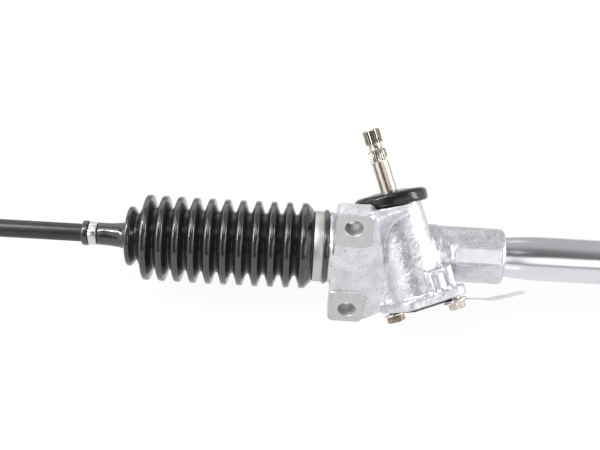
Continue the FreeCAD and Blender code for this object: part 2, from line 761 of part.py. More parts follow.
def build_pinion():
    """The pinion shaft with its teeth, journals, splined end and bolt notch."""
    seat_top = sz.bearing_low + sz.bearing_width
    spline_low = sz.shaft_top - sz.spline_length
    notch_low = spline_low - sz.notch_length
    lower_spline_low = notch_low - sz.lower_spline_length
    relief = 0.3
    shaft = turned("pinion_core", pinion_frame, [
        (-sz.bush_low - 0.5, 0),
        (-sz.bush_low - 0.5, sz.journal_radius - 1),
        (-sz.bush_low + 0.5, sz.journal_radius),
        (-sz.toothed_half - 1, sz.journal_radius),
        (-sz.toothed_half - 1, sz.notch_radius),
        (sz.toothed_half, sz.notch_radius),
        (sz.toothed_half, pinion_tip),
        (sz.bearing_low, pinion_tip),
        (sz.bearing_low, sz.bearing_inner),
        (seat_top, sz.bearing_inner),
        (seat_top, sz.bearing_inner - sz.ring_grip),
        (seat_top + sz.ring_thickness, sz.bearing_inner - sz.ring_grip),
        (seat_top + sz.ring_thickness, sz.shaft_radius),
        (lower_spline_low - 0.4, sz.shaft_radius),
        (lower_spline_low, sz.shaft_radius + relief),
        (notch_low, sz.shaft_radius + relief),
        (notch_low + 0.8, sz.notch_radius),
        (spline_low - 0.8, sz.notch_radius),
        (spline_low, sz.shaft_radius + relief),
        (sz.shaft_top - 1, sz.shaft_radius + relief),
        (sz.shaft_top, sz.shaft_radius - 1),
        (sz.shaft_top, 0),
    ])
    return fuse("pinion_shaft", [shaft, pinion_teeth()])


def build_bearing():
    """Ball bearing of the pinion: both races, cage and balls."""
    low = sz.bearing_low
    high = low + sz.bearing_width
    middle = low + sz.bearing_width / 2
    ball_circle = (sz.bearing_outer + sz.bearing_inner) / 2
    clear_ball = sz.ball_radius + sz.running_clearance
    parts = []
    for name, inner, outer in (
            ("bearing_outer_race", sz.bearing_outer - sz.race_depth, sz.bearing_outer),
            ("bearing_inner_race", sz.bearing_inner, sz.bearing_inner + sz.race_depth)):
        track = document.addObject("Part::Torus", name + "_track")
        bind(track, Radius1=ball_circle, Radius2=clear_ball)
        put(track, pinion_frame, z=middle)
        blank = ring(name + "_blank", pinion_frame, low, high, inner, outer)
        parts.append(cut(name, blank, track))
    balls = []
    pockets = []
    for index in range(int(float(sz.ball_count))):
        turn = 2 * math.pi * index / float(sz.ball_count)
        x = ball_circle * math.cos(turn)
        y = ball_circle * math.sin(turn)
        balls.append(ball(f"bearing_ball_{index + 1}", pinion_frame, sz.ball_radius, x, y, middle))
        pockets.append(ball(f"pocket_{index + 1}", pinion_frame, clear_ball, x, y, middle))
    cage_half = sz.ball_radius + 1.2
    cage_wall = 1.1
    cage = ring("cage_blank", pinion_frame, middle - cage_half, middle + cage_half,
                ball_circle - cage_wall, ball_circle + cage_wall)
    parts.append(cut("bearing_cage", cage, fuse("cage_pockets", pockets)))
    parts.append(group("bearing_balls", balls))
    return parts


def build_tower_fittings():
    """Retaining rings, oil seal, lower bush and dust cap round the pinion."""
    ring_low = sz.bearing_low + sz.bearing_width
    ring_high = ring_low + sz.ring_thickness
    seal_low = sz.tower_top - sz.seal_thickness
    seal_wall = 1.6
    lip_reach = sz.shaft_radius + 2
    lip_bore = sz.shaft_radius + sz.running_clearance
    skirt_wall = 5
    parts = [
        ring("housing_snap_ring", pinion_frame, ring_low, ring_high,
             sz.bearing_outer - 2.2, sz.bearing_outer + sz.ring_grip),
        ring("shaft_snap_ring", pinion_frame, ring_low, ring_high,
             sz.bearing_inner - sz.ring_grip, sz.bearing_inner + 1.8),
        turned("pinion_oil_seal", pinion_frame, [
            (seal_low, sz.bearing_outer - seal_wall),
            (seal_low, sz.bearing_outer),
            (sz.tower_top, sz.bearing_outer),
            (sz.tower_top, lip_reach),
            (sz.tower_top - seal_wall / 2, lip_bore),
            (seal_low + 1, lip_bore),
            (seal_low + 1, lip_reach),
            (sz.tower_top - 2, lip_reach + 1),
            (sz.tower_top - 2, sz.bearing_outer - seal_wall),
        ]),
        ring("lower_pinion_bush", pinion_frame, -sz.bush_low, -sz.bush_low + sz.bush_height,
             sz.journal_radius + sz.running_clearance, sz.bush_outer),
    ]
    wall = 2.6
    top = sz.cap_top
    parts.append(turned("dust_cap", pinion_frame, [
        (sz.cap_low, tower_rim),
        (sz.cap_low, sz.cap_radius - 2),
        (sz.cap_low + 1.2, sz.cap_radius - 0.5),
        (sz.cap_low + 2.6, sz.cap_radius),
        (top - 4.6, sz.cap_radius),
        (top - 3, sz.cap_radius - 0.8),
        (top - 1.6, sz.cap_radius - 3.2),
        (top, sz.shaft_radius + 6),
        (top, sz.shaft_radius + sz.soft_clearance),
        (top - wall, sz.shaft_radius + sz.soft_clearance),
        (top - wall - 1.4, sz.tower_radius - skirt_wall),
        (sz.tower_top, sz.tower_radius - skirt_wall),
        (sz.tower_top, tower_rim),
    ]))
    return parts


# Rack bar

def build_rack():
    """The rack bar, with its toothed flat and a bore in each end."""
    body = new_body("rack_bar")
    left = -rack_end
    right = sz.span + rack_end
    bore = sz.stud_radius + sz.running_clearance
    bore_depth = sz.stud_length + 2
    chamfer = 1
    outline = draw(body, "XY_Plane", [
        (left, bore),
        (left, sz.rack_radius - chamfer),
        (left + chamfer, sz.rack_radius),
        (right - chamfer, sz.rack_radius),
        (right, sz.rack_radius - chamfer),
        (right, bore),
        (right - bore_depth, bore),
        (right - bore_depth, 0),
        (left + bore_depth, 0),
        (left + bore_depth, bore),
    ])
    bar = body.newObject("PartDesign::Revolution", "rack_turned")
    bar.Profile = outline
    bar.ReferenceAxis = (outline, ["H_Axis"])
    bar.Angle = 360

    above = sz.rack_radius + 1
    gap_count = 2 * sz.side_gaps
    first_gap = sz.pinion_place - rack_pitch * (gap_count - 1) / 2
    flat_start = first_gap - rack_pitch / 2
    flat_end = flat_start + rack_pitch * gap_count
    lead = above - rack_tip
    flat = draw(body, "XY_Plane", [
        (flat_start, -rack_tip),
        (flat_end, -rack_tip),
        (flat_end + lead, -above),
        (flat_start - lead, -above),
    ])
    milled = body.newObject("PartDesign::Pocket", "rack_flat")
    milled.Profile = flat
    milled.Type = 0
    milled.Midplane = True
    bind(milled, Length=3 * sz.rack_radius)

    slope = math.tan(math.radians(float(sz.pressure_angle)))
    half_gap = rack_pitch / 4 + sz.tooth_backlash / 4
    floor = half_gap - sz.tooth_module * slope
    mouth = half_gap + (rack_tip + 0.5 - pitch_line) * slope
    gap_outline = draw(body, "XY_Plane", [
        (first_gap - floor, -rack_gap_floor),
        (first_gap + floor, -rack_gap_floor),
        (first_gap + mouth, -rack_tip - 0.5),
        (first_gap - mouth, -rack_tip - 0.5),
    ])
    gap = body.newObject("PartDesign::Pocket", "rack_gap")
    gap.Profile = gap_outline
    gap.Type = 0
    gap.Midplane = True
    bind(gap, Length=3 * sz.rack_radius)
    teeth = body.newObject("PartDesign::LinearPattern", "rack_teeth")
    teeth.Originals = [gap]
    teeth.Direction = (origin_plane(body, "X_Axis"), [""])
    bind(teeth, Length=rack_pitch * (gap_count - 1), Occurrences=gap_count)
    body.Tip = teeth
    return put(body, rack_frame)


# Support yoke behind the rack

def build_yoke():
    """Yoke, O-ring, spring, plug and lock nut on the far side of the rack."""
    groove = sz.yoke_length - 4.5
    groove_half = 1.1
    groove_depth = 1.8
    seal_wire = groove_depth / 2
    face = 1.5
    plug_key = 7
    key_depth = 8
    saddle = cylinder("yoke_saddle", line_frame, sz.rack_radius + sz.running_clearance,
                      sz.pinion_place - 2 * sz.yoke_radius, sz.pinion_place + 2 * sz.yoke_radius)
    pocket_floor = sz.yoke_length - 5
    blank = turned("yoke_blank", yoke_frame, [
        (face, 0),
        (face, sz.yoke_radius),
        (groove - groove_half, sz.yoke_radius),
        (groove - groove_half, sz.yoke_radius - groove_depth),
        (groove + groove_half, sz.yoke_radius - groove_depth),
        (groove + groove_half, sz.yoke_radius),
        (sz.yoke_length, sz.yoke_radius),
        (sz.yoke_length, sz.pocket_radius),
        (pocket_floor, sz.pocket_radius),
        (pocket_floor, 0),
    ])
    parts = [cut("support_yoke", blank, saddle)]
    seal = document.addObject("Part::Torus", "yoke_o_ring")
    seal.Label = "yoke_o_ring"
    bind(seal, Radius1=sz.yoke_radius - seal_wire + sz.running_clearance, Radius2=seal_wire)
    parts.append(put(seal, yoke_frame, z=groove))

    spring_end = sz.plug_start + 4
    free_length = spring_end - pocket_floor - 2 * sz.wire_radius
    turns = 3.5
    coil = document.addObject("Part::Helix", "spring_line")
    bind(coil, Pitch=free_length / turns, Height=free_length, Radius=sz.spring_radius)
    put(coil, yoke_frame, z=pocket_floor + sz.wire_radius)
    wire = document.addObject("Part::Circle", "spring_wire")
    bind(wire, Radius=sz.wire_radius)
    put(wire, yoke_frame, sz.spring_radius, 0, pocket_floor + sz.wire_radius,
        Rotation(Vector(1, 0, 0), 90))
    spring = document.addObject("Part::Sweep", "yoke_spring")
    spring.Label = "yoke_spring"
    spring.Sections = [wire]
    spring.Spine = (coil, [])
    spring.Solid = True
    spring.Frenet = True
    parts.append(spring)

    parts.append(turned("yoke_plug", yoke_frame, [
        (sz.plug_start, sz.pocket_radius),
        (sz.plug_start, sz.plug_radius),
        (sz.plug_end - 1, sz.plug_radius),
        (sz.plug_end, sz.plug_radius - 1),
        (sz.plug_end, plug_key),
        (sz.plug_end - key_depth, plug_key),
        (sz.plug_end - key_depth, 0),
        (spring_end, 0),
        (spring_end, sz.pocket_radius),
    ]))
    nut = hexagon("nut_blank", yoke_frame, sz.nut_flats, sz.boss_end, sz.nut_height)
    nut_bore = cylinder("nut_bore", yoke_frame, sz.plug_radius,
                        sz.boss_end - 1, sz.boss_end + sz.nut_height + 1)
    parts.append(cut("yoke_lock_nut", nut, nut_bore))
    return parts


# Steel tube and what it carries

def build_tube():
    """The steel tube with its end sleeve, rack bush, rubber bush and bracket."""
    inner = sz.tube_radius - sz.tube_wall
    mouth_inner = sz.mouth_radius - sz.tube_wall
    tube_start = sz.arm_end - sz.mouth_length
    flare_start = sz.arm_end + 4
    flare_end = flare_start + 20
    sleeve_stop = 7
    tube_end = sz.span + sz.seat_end - sleeve_stop
    tube = turned("rack_tube", line_frame, [
        (tube_start, mouth_inner),
        (tube_start, sz.mouth_radius),
        (flare_start, sz.mouth_radius),
        (flare_end, sz.tube_radius),
        (tube_end, sz.tube_radius),
        (tube_end, inner),
        (flare_end, inner),
        (flare_start, mouth_inner),
    ])
    sleeve_end = sz.span + sz.seat_end
    seat_start = sz.span + sz.seat_start
    sleeve_start = seat_start - 18
    sleeve_wall = 2.4
    sleeve = turned("end_sleeve", line_frame, [
        (sleeve_start, sz.tube_radius),
        (sleeve_start, sz.tube_radius + sleeve_wall),
        (seat_start - sz.collar_width - 4, sz.tube_radius + sleeve_wall + 1),
        (seat_start - sz.collar_width, sz.collar_radius - 1),
        (seat_start - sz.collar_width, sz.collar_radius),
        (seat_start, sz.collar_radius),
        (seat_start, sz.seat_radius),
        (sleeve_end - 1, sz.seat_radius),
        (sleeve_end, sz.seat_radius - 1),
        (sleeve_end, sz.rack_bore),
        (tube_end, sz.rack_bore),
        (tube_end, sz.tube_radius),
    ])
    rack_bush = ring("rack_bush", line_frame, tube_end - sz.bush_length, tube_end,
                     sz.rack_radius + sz.running_clearance, inner)

    rubber = ring("mount_rubber", line_frame, bracket_place - sz.bracket_width / 2 - 1,
                  bracket_place + sz.bracket_width / 2 + 1, sz.tube_radius, sz.rubber_radius)
    low = bracket_place - sz.bracket_width / 2
    outer = sz.rubber_radius + sz.bracket_sheet
    hoop = document.addObject("Part::Cylinder", "bracket_hoop")
    bind(hoop, Radius=outer, Height=sz.bracket_width)
    side = Rotation(Vector(0, 1, 0), 90)
    put(hoop, row_frame, low, sz.pad_to_axis, 0, side)
    cheeks = box("bracket_cheeks", row_frame, (low, 0, -outer),
                 (low + sz.bracket_width, sz.pad_to_axis, outer))
    feet = box("bracket_feet", row_frame, (low, 0, -outer - sz.bracket_foot),
               (low + sz.bracket_width, sz.bracket_sheet, outer + sz.bracket_foot))
    hollow = document.addObject("Part::Cylinder", "bracket_hollow")
    bind(hollow, Radius=sz.rubber_radius, Height=sz.bracket_width + 2)
    put(hollow, row_frame, low - 1, sz.pad_to_axis, 0, side)
    gate = box("bracket_gate", row_frame, (low - 1, -1, -sz.rubber_radius),
               (low + sz.bracket_width + 1, sz.pad_to_axis, sz.rubber_radius))
    tools = [hollow, gate]
    for name, sign in (("upper_bracket_hole", 1), ("lower_bracket_hole", -1)):
        hole = document.addObject("Part::Cylinder", name)
        bind(hole, Radius=sz.bracket_hole, Height=4 * sz.bracket_sheet)
        put(hole, row_frame, bracket_place, 2 * sz.bracket_sheet, sign * hole_height,
            Rotation(Vector(1, 0, 0), 90))
        tools.append(hole)
    bracket = cut("mount_bracket", fuse("bracket_blank", [hoop, cheeks, feet]),
                  fuse("bracket_cuts", tools))
    return [tube, sleeve, rack_bush, rubber, bracket]


# Bellows, inner joints and tie rods, the same at both ends

def build_bellows(side, frame):
    """A rubber bellows: collar, a pattern of large folds, and a neck."""
    body = new_body(side + "_bellows")
    collar_outer = sz.seat_radius + sz.bellows_wall
    clamp_end = sz.clamp_place + sz.clamp_width
    half_flat = sz.crest_flat / 2
    half_pitch = sz.crest_pitch / 2
    bead = collar_outer + 2.4
    bead_edge = 0.8
    fold_wall = 2
    lip_length = 5.4
    turn_profile(body, [
        (sz.seat_start, sz.seat_radius),
        (sz.seat_start, bead - bead_edge),
        (sz.seat_start + bead_edge, bead),
        (sz.clamp_place, bead),
        (sz.clamp_place, collar_outer),
        (clamp_end, collar_outer),
        (sz.crest_place - half_flat, sz.crest_radius),
        (sz.crest_place, sz.crest_radius),
        (sz.crest_place, sz.bellows_inner),
        (sz.seat_end + 0.4, sz.bellows_inner),
        (sz.seat_end + 0.4, sz.seat_radius),
    ])
    end_fold = last_crest + half_pitch
    neck_groove = sz.rod_groove + sz.soft_clearance
    neck_bore = sz.rod_radius + sz.soft_clearance
    clamp_seat = sz.neck_radius - sz.clamp_thickness - 0.6
    clamp_start = neck_end
    clamp_finish = clamp_start + sz.small_clamp_width
    turn_profile(body, [
        (end_fold - 0.01, sz.bellows_inner),
        (end_fold - 0.01, sz.root_radius),
        (end_fold + 1.6, sz.small_root_radius),
        (end_fold + 2.6, sz.small_root_radius),
        (end_fold + 6.2, sz.small_crest_radius),
        (end_fold + 9.4, sz.small_crest_radius),
        (neck_start - 0.6, sz.neck_radius + 1.3),
        (neck_start + 4, sz.neck_radius + 0.2),
        (clamp_start, sz.neck_radius - 0.6),
        (clamp_start, clamp_seat),
        (clamp_finish, clamp_seat),
        (clamp_finish, sz.neck_radius + 0.45),
        (clamp_finish + lip_length, sz.neck_radius + 0.45),
        (clamp_finish + lip_length, neck_bore),
        (clamp_finish + 1, neck_bore),
        (clamp_finish + 1, neck_groove),
        (clamp_start - 2, neck_groove),
        (clamp_start - 2, neck_bore),
        (neck_start - 1, neck_bore),
        (end_fold + 8.4, sz.small_crest_radius - fold_wall),
        (end_fold + 7, sz.small_crest_radius - fold_wall),
        (end_fold + 2.8, sz.small_root_radius - fold_wall),
        (end_fold + 1.2, sz.small_root_radius - fold_wall),
    ])
    turn_profile(body, [
        (sz.crest_place - half_flat, sz.crest_radius),
        (sz.crest_place + half_flat, sz.crest_radius),
        (sz.crest_place + half_pitch, sz.root_radius),
        (sz.crest_place + half_pitch, sz.bellows_inner),
        (sz.crest_place - half_flat, sz.bellows_inner),
    ])
    rest = turn_profile(body, [
        (sz.crest_place + half_pitch, sz.bellows_inner),
        (sz.crest_place + half_pitch, sz.root_radius),
        (sz.crest_place + sz.crest_pitch - half_flat, sz.crest_radius),
        (sz.crest_place + sz.crest_pitch + half_flat, sz.crest_radius),
        (sz.crest_place + sz.crest_pitch + half_pitch, sz.root_radius),
        (sz.crest_place + sz.crest_pitch + half_pitch, sz.bellows_inner),
    ])
    folds = body.newObject("PartDesign::LinearPattern", side + "_folds")
    folds.Originals = [rest]
    folds.Direction = (origin_plane(body, "Z_Axis"), [""])
    bind(folds, Length=sz.crest_pitch * (sz.crest_count - 2), Occurrences=sz.crest_count - 1)
    body.Tip = folds
    return put(body, frame)


def build_end(side, frame):
    """Bellows, clamps, socket, ball seat, tie rod and nut of one end."""
    collar_outer = sz.seat_radius + sz.bellows_wall
    parts = [build_bellows(side, frame)]
    parts.append(ring(side + "_large_clamp", frame, sz.clamp_place,
                      sz.clamp_place + sz.clamp_width, collar_outer,
                      collar_outer + sz.clamp_thickness))
    clamp_bore = sz.neck_radius - sz.clamp_thickness - 0.6 + sz.soft_clearance
    parts.append(ring(side + "_small_clamp", frame, neck_end + 0.3,
                      neck_end + sz.small_clamp_width - 0.3, clamp_bore,
                      clamp_bore + sz.clamp_thickness))

    cavity = sz.ball_joint_radius + sz.liner_thickness + sz.running_clearance
    mouth = ball_place + sz.socket_mouth
    blank = turned(side + "_socket_blank", frame, [
        (socket_face - sz.lock_washer_thickness - sz.stud_length, 0),
        (socket_face - sz.lock_washer_thickness - sz.stud_length, sz.stud_radius),
        (socket_face, sz.stud_radius),
        (socket_face, sz.socket_radius - 1),
        (socket_face + 1, sz.socket_radius),
        (ball_place + 4, sz.socket_radius),
        (mouth, sz.socket_radius - 4),
        (mouth, 0),
    ])
    hollow = ball(side + "_socket_hollow", frame, cavity, z=ball_place)
    flats = []
    flat_depth = 2
    flat_low = socket_face + 3
    flat_high = flat_low + 10
    for name, sign in (("front", -1), ("back", 1)):
        near = sz.socket_radius - flat_depth
        far = sz.socket_radius + flat_depth
        low, high = (near, far) if sign > 0 else (-far, -near)
        flats.append(box(f"{side}_{name}_flat", frame,
                         (-sz.socket_radius, low, flat_low),
                         (sz.socket_radius, high, flat_high)))
    parts.append(cut(side + "_joint_socket", blank,
                     fuse(side + "_socket_cuts", [hollow] + flats)))
    parts.append(ring(side + "_lock_washer", frame, socket_face - sz.lock_washer_thickness,
                      socket_face, sz.stud_radius + 4 * sz.running_clearance,
                      sz.socket_radius - 1.5))

    liner = ball(side + "_liner", frame, sz.ball_joint_radius + sz.liner_thickness, z=ball_place)
    room = ball(side + "_liner_room", frame, sz.ball_joint_radius + sz.running_clearance,
                z=ball_place)
    gate = document.addObject("Part::Cone", side + "_liner_gate")
    gate_reach = sz.ball_joint_radius + sz.liner_thickness
    gate_slope = math.tan(math.radians(50))
    bind(gate, Radius1=0, Radius2=gate_reach * gate_slope, Height=gate_reach)
    put(gate, frame, z=ball_place)
    parts.append(cut(side + "_ball_seat", liner, fuse(side + "_seat_cuts", [room, gate])))

    rod_end = ball_place + sz.rod_length
    shank = sz.rod_radius - 1
    nut_low = rod_end - sz.jam_nut_place
    nut_high = nut_low + sz.jam_nut_height
    groove_start = neck_end - 3
    groove_end = neck_end + sz.small_clamp_width + 2
    taper_start = ball_place + 22
    taper_end = taper_start + 5
    rod = turned(side + "_rod_form", frame, [
        (ball_place, 0),
        (ball_place, shank - 0.3),
        (taper_start, shank),
        (taper_end, sz.rod_radius),
        (groove_start - 1, sz.rod_radius),
        (groove_start, sz.rod_groove),
        (groove_end, sz.rod_groove),
        (groove_end + 1, sz.rod_radius),
        (nut_low, sz.rod_radius),
        (nut_low, sz.thread_mean_radius),
        (nut_high, sz.thread_mean_radius),
        (nut_high, sz.rod_radius),
        (rod_end - 2, sz.rod_radius),
        (rod_end, sz.rod_radius - 1.5),
        (rod_end, 0),
    ])
    knob = ball(side + "_rod_ball", frame, sz.ball_joint_radius, z=ball_place)
    parts.append(fuse(side + "_tie_rod", [knob, rod]))

    nut = hexagon(side + "_nut_blank", frame, sz.jam_nut_flats, nut_low, sz.jam_nut_height)
    nut_bore = cylinder(side + "_nut_bore", frame, sz.thread_mean_radius, nut_low - 1, nut_high + 1)
    parts.append(cut(side + "_jam_nut", nut, nut_bore))
    return parts


# Build, check and write every piece

pieces = [build_housing()]
pieces += build_cover()
pieces.append(build_pinion())
pieces += build_bearing()
pieces += build_tower_fittings()
pieces.append(build_rack())
pieces += build_yoke()
pieces += build_tube()
for end_side, end_frame in end_frames.items():
    pieces += build_end(end_side, end_frame)
document.recompute()

for item in document.Objects:
    if "Invalid" in item.State or "Error" in item.State:
        raise RuntimeError(f"{item.Name} failed: {item.State}")

for piece in pieces:
    shape = piece.Shape
    if shape.isNull() or not shape.isValid():
        raise RuntimeError(f"{piece.Label} has no valid shape")
    shape.exportStep(f"parts/{piece.Label}.step")
    print(f"{piece.Label}: {len(shape.Solids)} solids, {shape.Volume / 1000:.1f} cm3")
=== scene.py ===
import math

import bmesh
import bpy
from mathutils import Matrix, Vector, noise


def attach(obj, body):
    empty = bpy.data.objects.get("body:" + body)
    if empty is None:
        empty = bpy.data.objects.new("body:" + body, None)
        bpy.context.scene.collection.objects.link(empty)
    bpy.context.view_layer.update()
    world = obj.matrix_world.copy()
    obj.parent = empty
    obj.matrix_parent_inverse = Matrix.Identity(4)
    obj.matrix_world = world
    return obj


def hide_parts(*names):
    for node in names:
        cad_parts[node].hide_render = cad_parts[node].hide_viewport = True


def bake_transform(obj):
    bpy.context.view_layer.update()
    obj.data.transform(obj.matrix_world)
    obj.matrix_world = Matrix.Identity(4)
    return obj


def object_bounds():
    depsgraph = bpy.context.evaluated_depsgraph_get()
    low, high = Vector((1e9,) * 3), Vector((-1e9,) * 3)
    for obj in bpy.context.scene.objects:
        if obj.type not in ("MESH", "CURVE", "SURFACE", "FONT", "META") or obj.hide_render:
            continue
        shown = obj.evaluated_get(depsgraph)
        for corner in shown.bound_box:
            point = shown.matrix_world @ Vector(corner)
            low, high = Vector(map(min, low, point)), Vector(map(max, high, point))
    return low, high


# Looks of a rack-and-pinion steering gear, in metres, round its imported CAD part
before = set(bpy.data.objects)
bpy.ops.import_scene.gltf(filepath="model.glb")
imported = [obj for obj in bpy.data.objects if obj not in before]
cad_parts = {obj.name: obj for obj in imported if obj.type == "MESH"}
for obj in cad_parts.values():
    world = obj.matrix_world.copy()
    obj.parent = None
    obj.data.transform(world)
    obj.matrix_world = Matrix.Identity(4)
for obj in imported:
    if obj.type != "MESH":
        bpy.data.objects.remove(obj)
cadLow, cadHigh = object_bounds()
scene = bpy.context.scene
mm = 0.001
metres = Matrix.Scale(mm, 4)
weldDistance = 0.0004


def turn(degrees, axis):
    return Matrix.Rotation(math.radians(degrees), 4, axis)


def shift(x, y, z):
    return Matrix.Translation((x * mm, y * mm, z * mm))


# Frames of the part: along the rack, up the pinion, out through the yoke, and outwards at each end
rackFrame = shift(0, 28, 0) @ turn(-36, "X")
pinionFrame = rackFrame @ shift(43.5, -13.7, 0) @ turn(-20.4, "Y")
capFrame = pinionFrame @ shift(0, 0, 46.5) @ turn(5.5, "Y") @ shift(0, 0, -46.5)  # a little askew
yokeFrame = rackFrame @ shift(43.5, 0, 0) @ turn(-90, "X")
lineFrame = rackFrame @ turn(90, "Y")
endFrames = {
    "left": rackFrame @ turn(-90, "Y"),
    "right": rackFrame @ shift(438, 0, 0) @ turn(90, "Y"),
}
print("frame loaded")


# Camera at the photo's viewing angle, level with the pinion plane
cameraSettings = {"distance": 741, "along": -39.9, "above": 15.67, "roll": 3.3, "lens": 57.0}


def addCamera(s):
    data = bpy.data.cameras.new("photoCamera")
    data.lens = s["lens"]
    data.sensor_width = 36
    data.clip_start, data.clip_end = 0.02, 20
    camera = bpy.data.objects.new("photoCamera", data)
    scene.collection.objects.link(camera)
    roll = math.radians(s["roll"])
    across = (math.cos(roll), 0, math.sin(roll))
    up = (-math.sin(roll), 0, math.cos(roll))
    facing = Matrix((across, up, (0, -1, 0))).transposed().to_4x4()
    camera.matrix_world = rackFrame @ shift(s["along"], -s["distance"], s["above"]) @ facing
    scene.camera = camera


# Node trees: an input is either a number or another node's output
def addNode(tree, kind, inputs=None, **options):
    node = tree.nodes.new("ShaderNode" + kind)
    for option, value in options.items():
        setattr(node, option, value)
    for socket, value in (inputs or {}).items():
        if isinstance(value, bpy.types.NodeSocket):
            tree.links.new(value, node.inputs[socket])
        else:
            node.inputs[socket].default_value = value
    return node


def emptyTree(owner):
    owner.use_nodes = True
    owner.node_tree.nodes.clear()
    return owner.node_tree


def chosen(tree, factor, low, high):
    mix = addNode(tree, "Mix", {0: factor, 2: low, 3: high}, data_type="FLOAT")
    return mix.outputs[0]


def either(tree, first, second):
    return addNode(tree, "Math", {0: first, 1: second}, operation="MAXIMUM").outputs[0]


# White room: the world and the floor are plain white to the camera and in reflections
roomSettings = {
    "fill": 0.4,
    "roomPale": 0.58,
    "roomDark": 0.105,
    "rampLow": 0.3,
    "rampHigh": 0.93,
    "floorHalf": 6,
    "floorTone": 0.9,
    "floorGlow": 0.93,
    "floorShine": 0.97,
    "floorDrop": 0.4,
}


def addWorld(s):
    world = bpy.data.worlds.new("whiteRoom")
    scene.world = world
    tree = emptyTree(world)
    white = (1, 1, 1, 1)
    path = addNode(tree, "LightPath").outputs
    direction = addNode(tree, "TexCoord").outputs["Generated"]
    towards = rackFrame.to_3x3() @ Vector((0, -1, 0))
    facing = addNode(tree, "VectorMath", {0: direction, 1: towards}, operation="DOT_PRODUCT")
    ramp = addNode(tree, "MapRange", {
        "Value": facing.outputs["Value"],
        "From Min": s["rampLow"],
        "From Max": s["rampHigh"],
        "To Min": s["roomPale"],
        "To Max": s["roomDark"],
    }, interpolation_type="SMOOTHSTEP")
    level = chosen(tree, path["Is Camera Ray"], ramp.outputs["Result"], 1.0)
    fill = addNode(tree, "Background", {"Color": white, "Strength": s["fill"]})
    seen = addNode(tree, "Background", {"Color": white, "Strength": level})
    looking = either(tree, path["Is Camera Ray"], path["Is Glossy Ray"])
    looking = either(tree, looking, path["Is Transmission Ray"])
    mix = addNode(tree, "MixShader", {"Fac": looking, 1: fill.outputs[0], 2: seen.outputs[0]})
    addNode(tree, "OutputWorld", {"Surface": mix.outputs[0]})


def addFloor(s):
    bm = bmesh.new()
    bmesh.ops.create_grid(bm, x_segments=1, y_segments=1, size=s["floorHalf"])
    bmesh.ops.translate(bm, verts=bm.verts, vec=(0.2, 0, cadLow.z - s["floorDrop"] * mm))
    mesh = bpy.data.meshes.new("floor")
    bm.to_mesh(mesh)
    bm.free()
    floor = bpy.data.objects.new("floor", mesh)
    scene.collection.objects.link(floor)
    material = bpy.data.materials.new("paleFloor")
    tree = emptyTree(material)
    path = addNode(tree, "LightPath").outputs
    matt = addNode(tree, "BsdfDiffuse", {"Color": (s["floorTone"],) * 3 + (1,)})
    shine = chosen(tree, path["Is Camera Ray"], s["floorShine"], 1.0)
    glow = addNode(tree, "Emission", {"Strength": shine})
    looking = either(tree, path["Is Camera Ray"], path["Is Glossy Ray"])
    share = addNode(tree, "Math", {0: looking, 1: s["floorGlow"]}, operation="MULTIPLY")
    mix = addNode(tree, "MixShader", {"Fac": share.outputs[0], 1: matt.outputs[0], 2: glow.outputs[0]})
    addNode(tree, "OutputMaterial", {"Surface": mix.outputs[0]})
    mesh.materials.append(material)


# Softboxes: place and aim are in the rack frame in millimetres, strength in watts
lampSettings = {
    "frontStrip": {"place": (-310, -900, 820), "aim": (20, 0, 0), "size": (1.1, 0.42), "power": 3.2},
    "rightBox": {"place": (1150, -130, 180), "aim": (60, 0, 0), "size": (1.1, 1.2), "power": 3.4},
    "rightSoft": {"place": (640, -1020, -120), "aim": (80, 0, 0), "size": (1.15, 0.7), "power": 3.7},
    "leftSoft": {"place": (-900, -760, 0), "aim": (0, 0, 0), "size": (0.95, 1.3), "power": 4.2},
    "leftBox": {"place": (-1250, -60, 180), "aim": (0, 0, 0), "size": (0.5, 1.3), "power": 5.5},
    "leftBar": {"place": (-760, -840, 470), "aim": (-60, 0, 0), "size": (0.14, 0.9), "power": 10.5},
    "rightBar": {"place": (980, -330, 330), "aim": (40, 0, 0), "size": (0.17, 0.8), "power": 5.4},
    "topBox": {"place": (-480, 250, 1150), "aim": (-40, 0, 0), "size": (1.6, 0.8), "power": 3.5},
}


def addLamps(lamps):
    for name, s in lamps.items():
        data = bpy.data.lights.new(name, "AREA")
        data.shape = "RECTANGLE"
        data.size, data.size_y = s["size"]
        data.energy = s["power"]
        lamp = bpy.data.objects.new(name, data)
        scene.collection.objects.link(lamp)
        place = rackFrame @ (Vector(s["place"]) * mm)
        aim = rackFrame @ (Vector(s["aim"]) * mm)
        lamp.rotation_euler = (aim - place).to_track_quat("-Z", "Y").to_euler()
        lamp.location = place


addCamera(cameraSettings)
addWorld(roomSettings)
addFloor(roomSettings)
addLamps(lampSettings)
scene.view_settings.view_transform = "Standard"
print("camera, room and lamps placed")


# Finishes: every one is a node pattern on object coordinates, sizes in metres
noiseSettings = {
    "detail": 3.0, "speckDetail": 2.0, "bumpDetail": 2.5, "roughness": 0.55,
    "range": (0.3, 0.7), "finer": 2.3,
}


